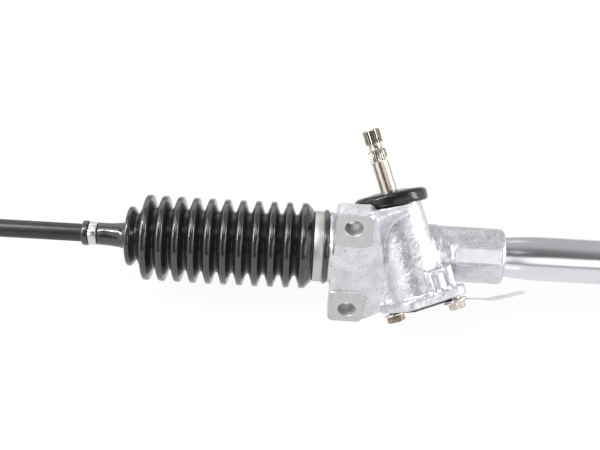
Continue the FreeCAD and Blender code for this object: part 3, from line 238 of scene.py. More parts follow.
def finish(name, s, noiseValues):
    material = bpy.data.materials.new(name)
    material.use_nodes = True
    tree = material.node_tree
    shader = tree.nodes["Principled BSDF"]
    shader.inputs["Metallic"].default_value = s.get("metallic", 0.0)
    shader.inputs["Specular IOR Level"].default_value = s.get("specular", 0.5)
    shader.inputs["Coat Weight"].default_value = s.get("coat", 0.0)
    shader.inputs["Coat Roughness"].default_value = s.get("coatRough", 0.1)
    coords = addNode(tree, "TexCoord").outputs["Object"]
    mapping = addNode(tree, "Mapping", {"Vector": coords, "Scale": s.get("stretch", (1, 1, 1))})

    def grain(scale, detail):
        node = addNode(tree, "TexNoise", {
            "Vector": mapping.outputs["Vector"],
            "Scale": scale,
            "Detail": detail,
            "Roughness": noiseValues["roughness"],
        })
        return node.outputs["Fac"]

    def spread(value, fromRange, toRange=(0, 1)):
        node = addNode(tree, "MapRange", {
            "Value": value,
            "From Min": fromRange[0],
            "From Max": fromRange[1],
            "To Min": toRange[0],
            "To Max": toRange[1],
        })
        return node.outputs["Result"]

    def blendColours(factor, first, second):
        colours = [value + (1,) if isinstance(value, tuple) else value for value in (first, second)]
        node = addNode(tree, "Mix", {"Factor": factor, 6: colours[0], 7: colours[1]}, data_type="RGBA")
        return node.outputs[2]

    patches = spread(grain(s["patchScale"], noiseValues["detail"]), noiseValues["range"])
    colour = blendColours(patches, s["colour"], s["colourTwo"])
    if "speck" in s:
        specks = spread(grain(s["speckScale"], noiseValues["speckDetail"]), s["speckRange"])
        colour = blendColours(specks, colour, s["speck"])
    tree.links.new(colour, shader.inputs["Base Color"])
    roughScale = s.get("roughScale", s["patchScale"] * noiseValues["finer"])
    rough = spread(grain(roughScale, noiseValues["detail"]), noiseValues["range"], s["rough"])
    tree.links.new(rough, shader.inputs["Roughness"])
    previous = {}
    for scale, depth in s["bumps"]:
        height = grain(scale, noiseValues["bumpDetail"])
        bump = addNode(tree, "Bump", {"Distance": depth, "Strength": 1.0, "Height": height, **previous})
        previous = {"Normal": bump.outputs["Normal"]}
    tree.links.new(previous["Normal"], shader.inputs["Normal"])
    return material


finishSettings = {
    "castAluminium": {
        "colour": (0.75, 0.75, 0.785), "colourTwo": (0.57, 0.57, 0.605), "metallic": 0.88,
        "rough": (0.27, 0.42), "patchScale": 95, "roughScale": 260,
        "speck": (0.40, 0.40, 0.42), "speckScale": 520, "speckRange": (0.60, 0.72),
        "bumps": ((130, 0.0007), (420, 0.00035), (1100, 0.00012)),
    },
    "fieldSkin": {
        "colour": (0.80, 0.80, 0.83), "colourTwo": (0.70, 0.70, 0.73), "metallic": 0.8,
        "rough": (0.36, 0.46), "patchScale": 95, "bumps": ((130, 0.00025), (1100, 0.00008)),
    },
    "machinedAluminium": {
        "colour": (0.55, 0.55, 0.545), "colourTwo": (0.47, 0.47, 0.465), "metallic": 0.75,
        "rough": (0.38, 0.5), "patchScale": 120, "bumps": ((1500, 0.00008),),
    },
    "polishedSteel": {
        "colour": (0.74, 0.74, 0.77), "colourTwo": (0.68, 0.68, 0.72), "metallic": 1.0,
        "rough": (0.19, 0.28), "patchScale": 40, "stretch": (0.1, 1, 1), "bumps": ((900, 0.00002),),
    },
    "bellowsRubber": {
        "colour": (0.012, 0.012, 0.013), "colourTwo": (0.017, 0.017, 0.018), "specular": 0.8,
        "coat": 0.35, "coatRough": 0.08,
        "rough": (0.11, 0.17), "patchScale": 50, "bumps": ((420, 0.00004), (120, 0.00006)),
    },
    "capRubber": {
        "colour": (0.009, 0.009, 0.009), "colourTwo": (0.014, 0.014, 0.014), "specular": 0.4,
        "rough": (0.12, 0.2), "patchScale": 80, "bumps": ((300, 0.00012), (1200, 0.00003)),
    },
    "bandSteel": {
        "colour": (0.72, 0.71, 0.69), "colourTwo": (0.6, 0.59, 0.57), "metallic": 1.0,
        "rough": (0.22, 0.36), "patchScale": 110, "bumps": ((1300, 0.00005),),
    },
    "clampBand": {
        "colour": (0.60, 0.60, 0.58), "colourTwo": (0.54, 0.54, 0.52), "metallic": 1.0,
        "rough": (0.42, 0.5), "patchScale": 60, "bumps": ((1300, 0.00003),),
    },
    "coverSteel": {
        "colour": (0.16, 0.16, 0.16), "colourTwo": (0.09, 0.09, 0.09), "metallic": 0.8,
        "rough": (0.35, 0.5), "patchScale": 200, "bumps": ((900, 0.0001),),
    },
    "machinedSteel": {
        "colour": (0.52, 0.52, 0.53), "colourTwo": (0.42, 0.42, 0.43), "metallic": 1.0,
        "rough": (0.26, 0.4), "patchScale": 90, "bumps": ((1500, 0.00005),),
    },
    "nickelShaft": {
        "colour": (0.66, 0.61, 0.53), "colourTwo": (0.52, 0.47, 0.40), "metallic": 1.0,
        "rough": (0.16, 0.28), "patchScale": 160, "bumps": ((1500, 0.00004),),
    },
    # dark finish for the shaft's serration roots: painted shade in the grooves
    "serrationRootShade": {
        "colour": (0.12, 0.10, 0.08), "colourTwo": (0.07, 0.06, 0.05), "metallic": 0.7,
        "rough": (0.4, 0.55), "patchScale": 400, "bumps": ((1500, 0.00005),),
    },
    "blackSteel": {
        "colour": (0.010, 0.010, 0.011), "colourTwo": (0.018, 0.018, 0.018), "metallic": 0.0,
        "rough": (0.26, 0.38), "patchScale": 120, "bumps": ((600, 0.0001),),
    },
    "zincBolts": {
        "colour": (0.60, 0.56, 0.48), "colourTwo": (0.44, 0.40, 0.33), "metallic": 1.0,
        "rough": (0.28, 0.45), "patchScale": 260, "speck": (0.16, 0.1, 0.06), "speckScale": 800,
        "speckRange": (0.62, 0.72), "bumps": ((1300, 0.00008),),
    },
    "rustyZinc": {
        "colour": (0.46, 0.41, 0.34), "colourTwo": (0.22, 0.16, 0.11), "metallic": 0.85,
        "rough": (0.32, 0.55), "patchScale": 330, "speck": (0.05, 0.028, 0.018), "speckScale": 520,
        "speckRange": (0.52, 0.62), "bumps": ((900, 0.00015),),
    },
    "gasketPaper": {
        "colour": (0.05, 0.048, 0.045), "colourTwo": (0.09, 0.085, 0.08), "rough": (0.6, 0.75),
        "patchScale": 300, "bumps": ((1500, 0.00008),),
    },
    "nylonSeat": {
        "colour": (0.72, 0.7, 0.63), "colourTwo": (0.66, 0.64, 0.57), "rough": (0.35, 0.45),
        "patchScale": 120, "bumps": ((900, 0.00005),),
    },
    "bronzeBush": {
        "colour": (0.55, 0.36, 0.17), "colourTwo": (0.44, 0.28, 0.13), "metallic": 1.0,
        "rough": (0.3, 0.42), "patchScale": 160, "bumps": ((1200, 0.00006),),
    },
    "tagAlloy": {
        "colour": (0.84, 0.83, 0.81), "colourTwo": (0.74, 0.73, 0.71), "metallic": 0.6,
        "rough": (0.4, 0.55), "patchScale": 150, "bumps": ((700, 0.00008),),
    },
    "mountRubber": {
        "colour": (0.016, 0.016, 0.017), "colourTwo": (0.026, 0.026, 0.027), "specular": 0.4,
        "rough": (0.4, 0.55), "patchScale": 90, "bumps": ((700, 0.00012),),
    },
    "bracketSteel": {
        "colour": (0.030, 0.030, 0.032), "colourTwo": (0.045, 0.045, 0.046), "metallic": 0.2,
        "rough": (0.34, 0.46), "patchScale": 110, "bumps": ((500, 0.00012),),
    },
}
finishes = {name: finish(name, s, noiseSettings) for name, s in finishSettings.items()}

# Which finish each CAD node that stays on show gets
nodeFinishes = {
    "pinion_housing": "castAluminium", "cover_gasket": "gasketPaper", "bottom_cover": "machinedSteel",
    "cover_bolts": "zincBolts", "cover_washers": "bandSteel", "blank_tag": "tagAlloy",
    "pinion_shaft": "nickelShaft", "dust_cap": "capRubber", "pinion_oil_seal": "mountRubber",
    "bearing_outer_race": "machinedSteel", "bearing_inner_race": "machinedSteel",
    "bearing_cage": "bandSteel", "bearing_balls": "polishedSteel", "housing_snap_ring": "blackSteel",
    "shaft_snap_ring": "blackSteel", "lower_pinion_bush": "bronzeBush", "rack_bar": "machinedSteel",
    "support_yoke": "machinedAluminium", "yoke_o_ring": "mountRubber", "yoke_spring": "machinedSteel",
    "yoke_plug": "machinedSteel", "yoke_lock_nut": "zincBolts", "rack_tube": "polishedSteel",
    "end_sleeve": "machinedAluminium", "rack_bush": "nylonSeat", "mount_rubber": "mountRubber",
    "mount_bracket": "bracketSteel",
}
for side in ("left", "right"):
    nodeFinishes.update({
        side + "_bellows": "bellowsRubber", side + "_large_clamp": "bandSteel",
        side + "_small_clamp": "bandSteel", side + "_joint_socket": "machinedSteel",
        side + "_lock_washer": "bandSteel", side + "_ball_seat": "nylonSeat",
        side + "_tie_rod": "blackSteel", side + "_jam_nut": "zincBolts",
    })
for name, finishName in nodeFinishes.items():
    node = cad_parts[name]
    node.data.materials.clear()
    node.data.materials.append(finishes[finishName])
print("finishes made")


# Modelling: a piece is drawn in millimetres in a frame, then put in its place in metres
def profileLoop(bm, rows, closed=True):
    verts = [bm.verts.new((row[1], 0, row[0])) for row in rows]
    for first, second in zip(verts, verts[1:] + verts[:1] if closed else verts[1:]):
        bm.edges.new((first, second))
    for vert, row in zip(verts, rows):
        if len(row) > 2:
            segments = row[3] if len(row) > 3 else 3
            bmesh.ops.bevel(bm, geom=[vert], offset=row[2], offset_type="OFFSET", segments=segments,
                            profile=0.5, affect="VERTICES", material=-1)


def turned(rows, steps=96, closed=True):
    bm = bmesh.new()  # rows are height, radius, rounding and its segments
    profileLoop(bm, rows, closed)
    bmesh.ops.spin(bm, geom=bm.verts[:] + bm.edges[:], cent=(0, 0, 0), axis=(0, 0, 1),
                   angle=2 * math.pi, steps=steps, use_merge=True)
    return bm


def moved(bm, matrix):
    bmesh.ops.transform(bm, matrix=matrix, verts=bm.verts)
    return bm


def welded(bm):
    bmesh.ops.remove_doubles(bm, verts=bm.verts, dist=weldDistance)
    bmesh.ops.recalc_face_normals(bm, faces=bm.faces)
    return bm


def addPiece(name, bm, place, finishName, body=None, stands=(), smooth=38):
    moved(welded(bm), place @ metres)
    mesh = bpy.data.meshes.new(name)
    bm.to_mesh(mesh)
    bm.free()
    mesh.shade_smooth()
    mesh.set_sharp_from_angle(angle=math.radians(smooth))
    mesh.materials.append(finishes[finishName])
    piece = bpy.data.objects.new(name, mesh)
    scene.collection.objects.link(piece)
    if body:
        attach(piece, body)
    if stands:
        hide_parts(*stands)
    return piece


def solidForm(rows, steps=64):
    return turned([(rows[0][0], 0)] + rows + [(rows[-1][0], 0)], steps, closed=False)


def applied(obj, name):
    bpy.context.view_layer.update()
    view = bpy.context.evaluated_depsgraph_get()
    mesh = bpy.data.meshes.new_from_object(obj.evaluated_get(view))
    mesh.name = name
    obj.modifiers.clear()
    obj.data = mesh
    return obj


def formOf(bm):
    mesh = bpy.data.meshes.new("form")
    welded(bm).to_mesh(mesh)
    bm.free()
    form = bpy.data.objects.new("form", mesh)
    scene.collection.objects.link(form)
    return form


def carve(first, second, operation="DIFFERENCE"):
    body, tool = formOf(first), formOf(second)
    cut = body.modifiers.new("cut", "BOOLEAN")
    cut.operation = operation
    cut.solver = "EXACT"
    cut.object = tool
    applied(body, "carved")
    bm = bmesh.new()
    bm.from_mesh(body.data)
    for form in (body, tool):
        bpy.data.objects.remove(form)
    return bm


def joined(parts):
    whole = bmesh.new()
    for part in parts:
        mesh = bpy.data.meshes.new("part")
        part.to_mesh(mesh)
        part.free()
        whole.from_mesh(mesh)
        bpy.data.meshes.remove(mesh)
    return whole


def capCut(bm, point, normal):
    whole = bm.verts[:] + bm.edges[:] + bm.faces[:]
    cut = bmesh.ops.bisect_plane(bm, geom=whole, plane_co=point, plane_no=normal, clear_outer=True)
    rim = [item for item in cut["geom_cut"] if isinstance(item, bmesh.types.BMEdge)]
    bmesh.ops.holes_fill(bm, edges=rim, sides=0)
    return bm


def eased(bm, width, segments=3, angle=32):
    least = math.radians(angle)
    sharp = [edge for edge in bm.edges if len(edge.link_faces) == 2 and edge.calc_face_angle(0) > least]
    bmesh.ops.bevel(bm, geom=sharp, offset=width, offset_type="OFFSET", segments=segments,
                    profile=0.5, affect="EDGES", clamp_overlap=True, material=-1)
    return bm


def roundedOutline(corners, radius, steps=7):
    points = []
    for k, corner in enumerate(corners):
        here = Vector(corner).to_3d()
        back = (Vector(corners[k - 1]).to_3d() - here).normalized()
        ahead = (Vector(corners[(k + 1) % len(corners)]).to_3d() - here).normalized()
        half = back.angle(ahead) / 2
        centre = here + (back + ahead).normalized() * radius / math.sin(half)
        first = here + back * radius / math.tan(half) - centre
        last = here + ahead * radius / math.tan(half) - centre
        points += [centre + first.slerp(last, step / steps) for step in range(steps + 1)]
    return points


def prism(outline, low, high):
    bm = bmesh.new()
    face = bm.faces.new([bm.verts.new((point[0], point[1], low)) for point in outline])
    grown = bmesh.ops.extrude_face_region(bm, geom=[face])
    top = [item for item in grown["geom"] if isinstance(item, bmesh.types.BMVert)]
    bmesh.ops.translate(bm, verts=top, vec=(0, 0, high - low))
    bmesh.ops.recalc_face_normals(bm, faces=bm.faces)
    return bm


def hexagonForm(flats, low, high, lowChamfer=0.8, highChamfer=0.0):
    reach = flats / 2 / math.cos(math.radians(30))
    angles = [math.radians(60 * k) for k in range(6)]
    corners = [(reach * math.cos(angle), reach * math.sin(angle)) for angle in angles]
    wide, narrow = reach + 0.4, flats / 2 - 0.35
    rows = [(low, narrow), (low + lowChamfer, wide)] if lowChamfer else [(low - 1, wide)]
    rows += [(high - highChamfer, wide), (high, narrow)] if highChamfer else [(high + 1, wide)]
    return carve(prism(corners, low, high), solidForm(rows, 96), "INTERSECT")


def reachOf(spot):
    return math.hypot(spot.x, spot.y)


def drawIn(vert, share):
    vert.co.x *= share
    vert.co.y *= share


def threadRows(low, high, radius, pitch, perTurn=6):
    count = round((high - low) / pitch * perTurn)
    return [(low + (high - low) * k / count, radius) for k in range(count + 1)]


def cutThread(bm, low, high, radius, pitch, depth):
    for vert in bm.verts:
        reach = reachOf(vert.co)
        if low <= vert.co.z <= high and abs(reach - radius) < 0.05:
            phase = (vert.co.z / pitch - math.atan2(vert.co.y, vert.co.x) / (2 * math.pi)) % 1
            fade = min(1, (vert.co.z - low) / pitch, (high - vert.co.z) / pitch)
            drawIn(vert, 1 - depth * abs(2 * phase - 1) * fade / reach)
    return bm


# Bellows: collar, folds and neck, each a hollow ring
bellowsSettings = {
    "seatStart": 17.5, "seatRadius": 24.55, "collarRadius": 26.6, "clampPlace": 21.2,
    "clampWidth": 7.2, "slideStart": 30, "firstCrest": 36.4, "pitch": 12.05,
    "crestRadius": 33.4, "rootRadius": 24.2, "crestHalf": 2.05, "crestRound": 1.15,
    "rootHalf": 0.9, "rootRound": 1.0, "wall": 1.9, "slideFolds": 9, "lip": 2.4, "seatEnd": 31.6,
    "smallCrest": 23.3, "smallRoot": 18.2, "neckStart": 176.2, "neckEnd": 196.5, "neckRadius": 9.3,
    "neckBore": 7.3, "neckGrip": 6.9, "neckClamp": 6.8, "steps": 128, "sag": 0.9,
}


def foldRows(low, crest, high, s):
    outer = [
        (low, s["rootRadius"]), (low + s["rootHalf"], s["rootRadius"], s["rootRound"], 3),
        (crest - s["crestHalf"], s["crestRadius"], s["crestRound"], 5),
        (crest + s["crestHalf"], s["crestRadius"], s["crestRound"], 5),
        (high - s["rootHalf"], s["rootRadius"], s["rootRound"], 3), (high, s["rootRadius"]),
    ]
    wall = s["wall"]
    inner = [
        (high, s["rootRadius"] - wall), (high - s["rootHalf"] - 0.5, s["rootRadius"] - wall),
        (crest + 0.7, s["crestRadius"] - wall), (crest - 0.7, s["crestRadius"] - wall),
        (low + s["rootHalf"] + 0.5, s["rootRadius"] - wall), (low, s["rootRadius"] - wall),
    ]
    return outer + inner


def addBellows(side, s):
    place = endFrames[side]
    roots = [s["firstCrest"] + s["pitch"] * (k + 0.5) for k in range(s["slideFolds"])]

    def ringOf(rows):
        bm = turned(rows, s["steps"])
        start = s["clampPlace"] + s["clampWidth"]
        for vert in bm.verts:
            share = min(max((vert.co.z - start) / (s["neckEnd"] - start), 0), 1)
            vert.co.x += (1 if side == "right" else -1) * s["sag"] * math.sin(math.pi * share)
        return bm

    def addFold(name, rows):
        fold = addPiece(side + name, ringOf(rows), place, "bellowsRubber", smooth=50)
        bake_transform(fold)
        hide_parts(side + "_bellows")

    wall, collar = s["wall"], s["collarRadius"]
    for k in range(s["slideFolds"]):
        crest = s["firstCrest"] + s["pitch"] * k
        low = s["slideStart"] if k == 0 else roots[k - 1]
        high = roots[k]
        rows = foldRows(low, crest, high, s)
        if k == 0:
            lip = collar + s["lip"]
            clampEnd = s["clampPlace"] + s["clampWidth"]
            rows = [
                (s["seatStart"], s["seatRadius"]), (s["seatStart"], lip, 1.2, 4),
                (s["clampPlace"], lip, 1.0, 4), (s["clampPlace"], collar, 0.3, 2),
                (clampEnd + 0.6, collar, 0.5, 3), (clampEnd + 0.9, collar + 1.4, 0.5, 3),
            ] + rows[2:9] + [(crest - 4.6, s["rootRadius"] - wall + 2), (s["seatEnd"], s["seatRadius"])]
        addFold(f"Fold{k + 1}", rows)

    low, high = roots[-1], roots[-1] + s["pitch"]
    addFold("Fold10", foldRows(low, low + s["pitch"] / 2, high, s))

    low = high
    crest = low + s["pitch"] / 2
    high = low + s["pitch"]
    neck, bore, grip, neckStart = s["neckRadius"], s["neckBore"], s["neckGrip"], s["neckStart"]
    clampLow, clampHigh = s["neckEnd"], s["neckEnd"] + s["neckClamp"]
    rows = foldRows(low, crest, high, s)[:5] + [
        (high + 1.6, s["smallRoot"], 0.9, 4), (high + 2.6, s["smallRoot"], 0.5, 3),
        (high + 6.2, s["smallCrest"], 1.3, 5), (high + 9.4, s["smallCrest"], 1.3, 5),
        (neckStart - 1.0, neck + 1.5, 1.0, 4), (neckStart + 2.0, neck + 0.5, 1.4, 4),
        (neckStart + 11, neck - 0.5, 3, 4),
        (clampLow - 0.5, neck - 0.55, 0.4, 3), (clampLow - 0.2, neck - 1.5, 0.2, 2),
        (clampHigh + 0.2, neck - 1.5, 0.2, 2), (clampHigh + 0.3, neck + 0.45, 0.7, 4),
        (clampHigh + 5.2, neck + 0.45, 1.6, 5), (clampHigh + 5.2, bore, 0.3, 2),
        (clampHigh + 1, bore), (clampHigh + 1, grip), (clampLow - 2, grip), (clampLow - 2, bore),
        (neckStart + 1, bore), (high + 8.4, s["smallCrest"] - s["lip"]),
        (high + 7.0, s["smallCrest"] - s["lip"]), (high + 2.8, s["smallRoot"] - wall),
        (high + 0.6, s["smallRoot"] - wall), (high - 3.4, s["rootRadius"] + 1),
        (crest + 0.7, s["crestRadius"] - wall), (crest - 0.7, s["crestRadius"] - wall),
        (low + 1.4, s["rootRadius"] - wall), (low, s["rootRadius"] - wall),
    ]
    addFold("BellowsNeck", rows)


for side in endFrames:
    addBellows(side, bellowsSettings)
print("bellows made")

# Casting: the housing with cast fillets and skin, then its machined faces and bores cut again
castingSettings = {
    "voxel": 1.0, "softenTurns": 4, "softenShare": 0.5, "smooth": 42,
    "wave": 0.16, "waveSize": 7.0, "grain": 0.05, "grainSize": 2.2,
    "padProud": 1.2, "padLeft": {1: -13.1, -1: -14.6}, "padRight": 13.1, "padOuter": 12.1,
    "padInner": 16.5, "padCorner": 4.3, "holeRadius": 6.75, "holeHeight": 39, "holeChamfer": 0.9,
    "holePlug": 7.4, "rackBore": 12, "rackPlug": 12.3, "armEnd": 116.5, "armFace": 20.4,
    "armOuter": 21.8, "armChamfer": 1.3, "armPlug": 21.6, "mouthRadius": 15.05, "mouthDepth": 34,
    "mouthFlare": 16.1, "mouthPlug": 15.4, "flangeLow": 41.4, "towerTop": 39, "towerPlug": 18.2,
    "sealBore": 17.5, "sealLow": 20, "bushBore": 10, "bushHigh": -18.5, "pinionBore": 10.6,
    "bossEnd": 38, "bossPlug": 19, "yokeBore": 13.05, "yokePlug": 15.6, "plugBore": 15.02, "plugLow": 24,
    "pocketBlock": ((24, 1.8, -37), (37, 16, -8)),
    "fieldHalf": (18.9, 8.3), "fieldBack": 20, "fieldCorner": 3, "fieldRim": 1.9, "fieldRound": 0.55,
    "fieldFace": 23.0, "fieldFloor": 21.7, "fieldRoot": 18.5,
    "shoulder": ((12.3, 3.0), (16, 3.0), (28, 12.7), (41.5, 20.5), (44.5, 28), (12.3, 28)),
    "shoulderReach": (20, 60), "shoulderTop": 36.1,
}


def solidTurned(rows, place, steps=64):
    return moved(welded(solidForm(rows, steps)), place @ metres)


def plug(low, high, radius, place):
    return solidTurned([(low, radius), (high, radius)], place)


def solidBlock(low, high, place, rounding=0, axis=None):
    bm = bmesh.new()
    bmesh.ops.create_cube(bm, size=1)
    size = [b - a for a, b in zip(low, high)]
    centre = [(a + b) / 2 for a, b in zip(low, high)]
    bmesh.ops.scale(bm, verts=bm.verts, vec=size)
    bmesh.ops.translate(bm, verts=bm.verts, vec=centre)
    if rounding:
        along = [edge for edge in bm.edges
                 if abs((edge.verts[1].co - edge.verts[0].co).normalized()[axis]) > 0.99]
        bmesh.ops.bevel(bm, geom=along, offset=rounding, offset_type="OFFSET", segments=5,
                        profile=0.5, affect="EDGES", material=-1)
    return moved(bm, place @ metres)


def meshOf(parts, name):
    whole = joined(parts)
    mesh = bpy.data.meshes.new(name)
    whole.to_mesh(mesh)
    whole.free()
    return mesh


def earFrame(sign, s):
    return shift(0, 0, sign * s["holeHeight"]) @ turn(90, "X")


# Narrow shoulder on the web that goes up to the cap's skirt
def webShoulder(s):
    bm = prism(s["shoulder"], *s["shoulderReach"])
    top = capFrame @ Vector((0, 0, s["shoulderTop"] * mm)) / mm
    return moved(capCut(bm, top, capFrame.to_3x3() @ Vector((0, 0, 1))), metres)


# Plugs fill the bores, and machining stock stands proud of each machined face
def castingStock(s):
    cad = bmesh.new()
    cad.from_mesh(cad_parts["pinion_housing"].data)
    bmesh.ops.remove_doubles(cad, verts=cad.verts, dist=1e-6)
    end, proud, height = s["armEnd"], s["padProud"], s["holeHeight"]
    stock = [
        cad,
        plug(-29, end - 1, s["rackPlug"], lineFrame),
        plug(end - s["mouthDepth"] - 2, end + proud, s["mouthPlug"], lineFrame),
        plug(end - 3, end + proud, s["armPlug"], lineFrame),
        plug(0.6 - s["flangeLow"], s["towerTop"], s["towerPlug"], pinionFrame),
        plug(1, s["bossEnd"] + proud, s["yokePlug"], yokeFrame),
        plug(20, s["bossEnd"] + proud, s["bossPlug"], yokeFrame),
        solidBlock(*s["pocketBlock"], Matrix()),
        webShoulder(s),
    ]
    for sign in (1, -1):
        stock.append(plug(-14, 0.5, s["holePlug"], earFrame(sign, s)))
        near, far = sorted((sign * (height + s["padOuter"]), sign * (height - s["padInner"])))
        low, high = (s["padLeft"][sign], -proud, near), (s["padRight"], 6, far)
        stock.append(solidBlock(low, high, Matrix(), s["padCorner"], 1))
    return stock


# Cutters for the machined faces and bores
def castingCutters(s):
    end, hole, height = s["armEnd"], s["holeRadius"], s["holeHeight"]
    cutters = []
    for sign in (1, -1):
        near, far = sorted((sign * (height - 18.5), sign * (height + 20)))
        cutters.append(solidBlock((-25, -12, near), (15.5, 0, far), Matrix()))
        cutters.append(solidTurned([(-40, hole), (-0.5, hole), (0.6, hole + s["holeChamfer"])],
                                   earFrame(sign, s)))
    mouth, mouthLow, chamferLow = s["mouthRadius"], end - s["mouthDepth"], end - s["armChamfer"]
    cutters.append(solidTurned([(-60, s["rackBore"]), (mouthLow, s["rackBore"]), (mouthLow, mouth),
                                (end - 0.8, mouth), (end + 0.3, s["mouthFlare"])], lineFrame))
    ring = turned([(end, 14), (end, s["armFace"]), (chamferLow, s["armOuter"]), (chamferLow, 30),
                   (end + 9, 30), (end + 9, 14)], 64)
    cutters.append(moved(ring, lineFrame @ metres))
    cutters.append(solidBlock((-50, -50, -60), (50, 50, -s["flangeLow"]), pinionFrame))
    cutters.append(solidTurned([
        (-50, s["bushBore"]), (s["bushHigh"], s["bushBore"]), (s["bushHigh"], s["pinionBore"]),
        (s["sealLow"], s["pinionBore"]), (s["sealLow"], s["sealBore"]), (60, s["sealBore"])], pinionFrame))
    cutters.append(solidBlock((-30, -30, s["bossEnd"]), (30, 30, 60), yokeFrame))
    cutters.append(solidTurned([(0, s["yokeBore"]), (s["plugLow"], s["yokeBore"]),
                                (s["plugLow"], s["plugBore"]), (60, s["plugBore"])], yokeFrame))
    return cutters


# The empty field on the arm: the room above its floor, and the raised rim round it
def fieldForms(s):
    long, tall = s["fieldHalf"]
    place = rackFrame @ shift(s["armEnd"] - s["fieldBack"], 0, 0) @ turn(90, "X") @ metres

    def outline(inset):
        wide, high = long - inset, tall - inset
        corners = [(-wide, -high), (wide, -high), (wide, high), (-wide, high)]
        return roundedOutline(corners, s["fieldCorner"] - inset / 2)

    room = prism(outline(s["fieldRim"] - 0.4), s["fieldFloor"], 40)
    rim = carve(prism(outline(0), s["fieldRoot"], s["fieldFace"]), prism(outline(s["fieldRim"]), 10, 40))
    return moved(room, place), moved(eased(rim, s["fieldRound"]), place)


def addCasting(s):
    casting = bpy.data.objects.new("housingCasting", meshOf(castingStock(s), "castingStock"))
    scene.collection.objects.link(casting)
    remesh = casting.modifiers.new("skin", "REMESH")
    remesh.mode = "VOXEL"
    remesh.voxel_size = s["voxel"] * mm
    soften = casting.modifiers.new("fillets", "SMOOTH")
    soften.factor = s["softenShare"]
    soften.iterations = s["softenTurns"]
    applied(casting, "castingSkin")
    bm = bmesh.new()
    bm.from_mesh(casting.data)
    for vert in bm.verts:
        spot = vert.co / mm
        lift = s["wave"] * noise.noise(spot / s["waveSize"]) + s["grain"] * noise.noise(spot / s["grainSize"])
        vert.co += vert.normal * lift * mm
    bm.to_mesh(casting.data)
    bm.free()

    room, rim = fieldForms(s)
    work = [(cutter, "machinedAluminium", "DIFFERENCE") for cutter in castingCutters(s)]
    work += [(room, "fieldSkin", "DIFFERENCE"), (rim, "castAluminium", "UNION")]
    skins = ["castAluminium", "machinedAluminium", "fieldSkin"]
    for skin in skins:
        casting.data.materials.append(finishes[skin])
    for cutter, cutterSkin, operation in work:
        mesh = meshOf([cutter], "cutter")
        for skin in skins:
            mesh.materials.append(finishes[skin])
        mesh.polygons.foreach_set("material_index", [skins.index(cutterSkin)] * len(mesh.polygons))
        tool = bpy.data.objects.new("cutter", mesh)
        scene.collection.objects.link(tool)
        cut = casting.modifiers.new("cut", "BOOLEAN")
        cut.operation = operation
        cut.solver = "EXACT"
        cut.object = tool
        applied(casting, "castingCut")
        bpy.data.objects.remove(tool)
    casting.data.shade_smooth()
    casting.data.set_sharp_from_angle(angle=math.radians(s["smooth"]))
    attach(casting, "housing")
    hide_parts("pinion_housing")
    print("casting has", len(casting.data.polygons), "faces")


addCasting(castingSettings)

# Steering shaft: its CAD teeth and journals below, a turned and serrated end above
shaftSettings = {
    "join": 46, "seam": 45.4, "radius": 6.5, "tip": 6.8, "serrations": 22, "depth": 0.8,
    "tooth": (0, 0, 0.5, 1, 1, 0.5), "low": 72.4, "notchLow": 80.8, "notchHigh": 86.9, "notch": 5.0,
    "top": 97.3, "centreHole": 1.7, "rootShadeLow": 5.5,
}


def addShaft(s):
    back = (pinionFrame @ metres).inverted()
    lower = bmesh.new()
    lower.from_mesh(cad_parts["pinion_shaft"].data)
    moved(lower, back)
    bmesh.ops.remove_doubles(lower, verts=lower.verts, dist=0.001)
    capCut(lower, (0, 0, s["join"]), (0, 0, 1))
    low, notchLow, notchHigh, top, tip = s["low"], s["notchLow"], s["notchHigh"], s["top"], s["tip"]
    steps = len(s["tooth"]) * s["serrations"]
    upper = turned([
        (s["seam"], 0), (s["seam"], s["radius"]), (low - 0.5, s["radius"], 0.15, 2), (low, tip),
        (notchLow, tip), (notchLow + 0.9, s["notch"], 0.5, 4), (notchHigh - 0.9, s["notch"], 0.5, 4),
        (notchHigh, tip), (top - 0.9, tip), (top, s["radius"] - 0.8, 0.2, 2),
        (top, s["centreHole"]), (top - 1.5, 0)], steps, closed=False)
    for vert in upper.verts:
        reach = reachOf(vert.co)
        if abs(reach - tip) < 0.02:
            place = round(math.atan2(vert.co.y, vert.co.x) * steps / (2 * math.pi))
            drawIn(vert, 1 - s["depth"] * s["tooth"][place % len(s["tooth"])] / reach)
    shaft = addPiece("steeringShaft", joined([lower, upper]), pinionFrame, "nickelShaft", "pinion",
                     ["pinion_shaft"], 30)
    # serration root and flank faces get the dark finish: painted shade, so the serrations show as dark and
    # bright stripes
    shaft.data.materials.append(finishes["serrationRootShade"])
    for polygon in shaft.data.polygons:
        spot = back @ polygon.center
        serrated = low < spot.z < notchLow or notchHigh < spot.z < top - 1.2
        if serrated and s["rootShadeLow"] < reachOf(spot) < tip - 0.3:
            polygon.material_index = 1


addShaft(shaftSettings)

# Dust cap over the tower, sitting a little askew as soft rubber does
capSettings = {
    "skirt": 36.7, "bore": 21.12, "rim": 28.0, "hole": 7.0, "inner": 16, "top": 48.4, "seat": 40.05,
}


def addCap(s):
    skirt, rim, top, seat = s["skirt"], s["rim"], s["top"], s["seat"]
    cap = turned([
        (skirt, s["bore"]), (skirt, rim - 0.9, 1.5, 5), (skirt + 1.9, rim, 1.3, 4),
        (top - 3.4, rim, 1.6, 5), (top - 1.5, rim - 2.8, 1.9, 6), (top - 0.9, 17.0, 2, 4),
        (top, 12.5, 1.2, 4), (top, s["hole"], 0.5, 3), (top - 2.4, s["hole"]),
        (top - 4, s["inner"]), (seat, s["inner"]), (seat, s["bore"])], 128)
    addPiece("dustCap", cap, capFrame, "capRubber", "housing", ["dust_cap"], 40)


addCap(capSettings)

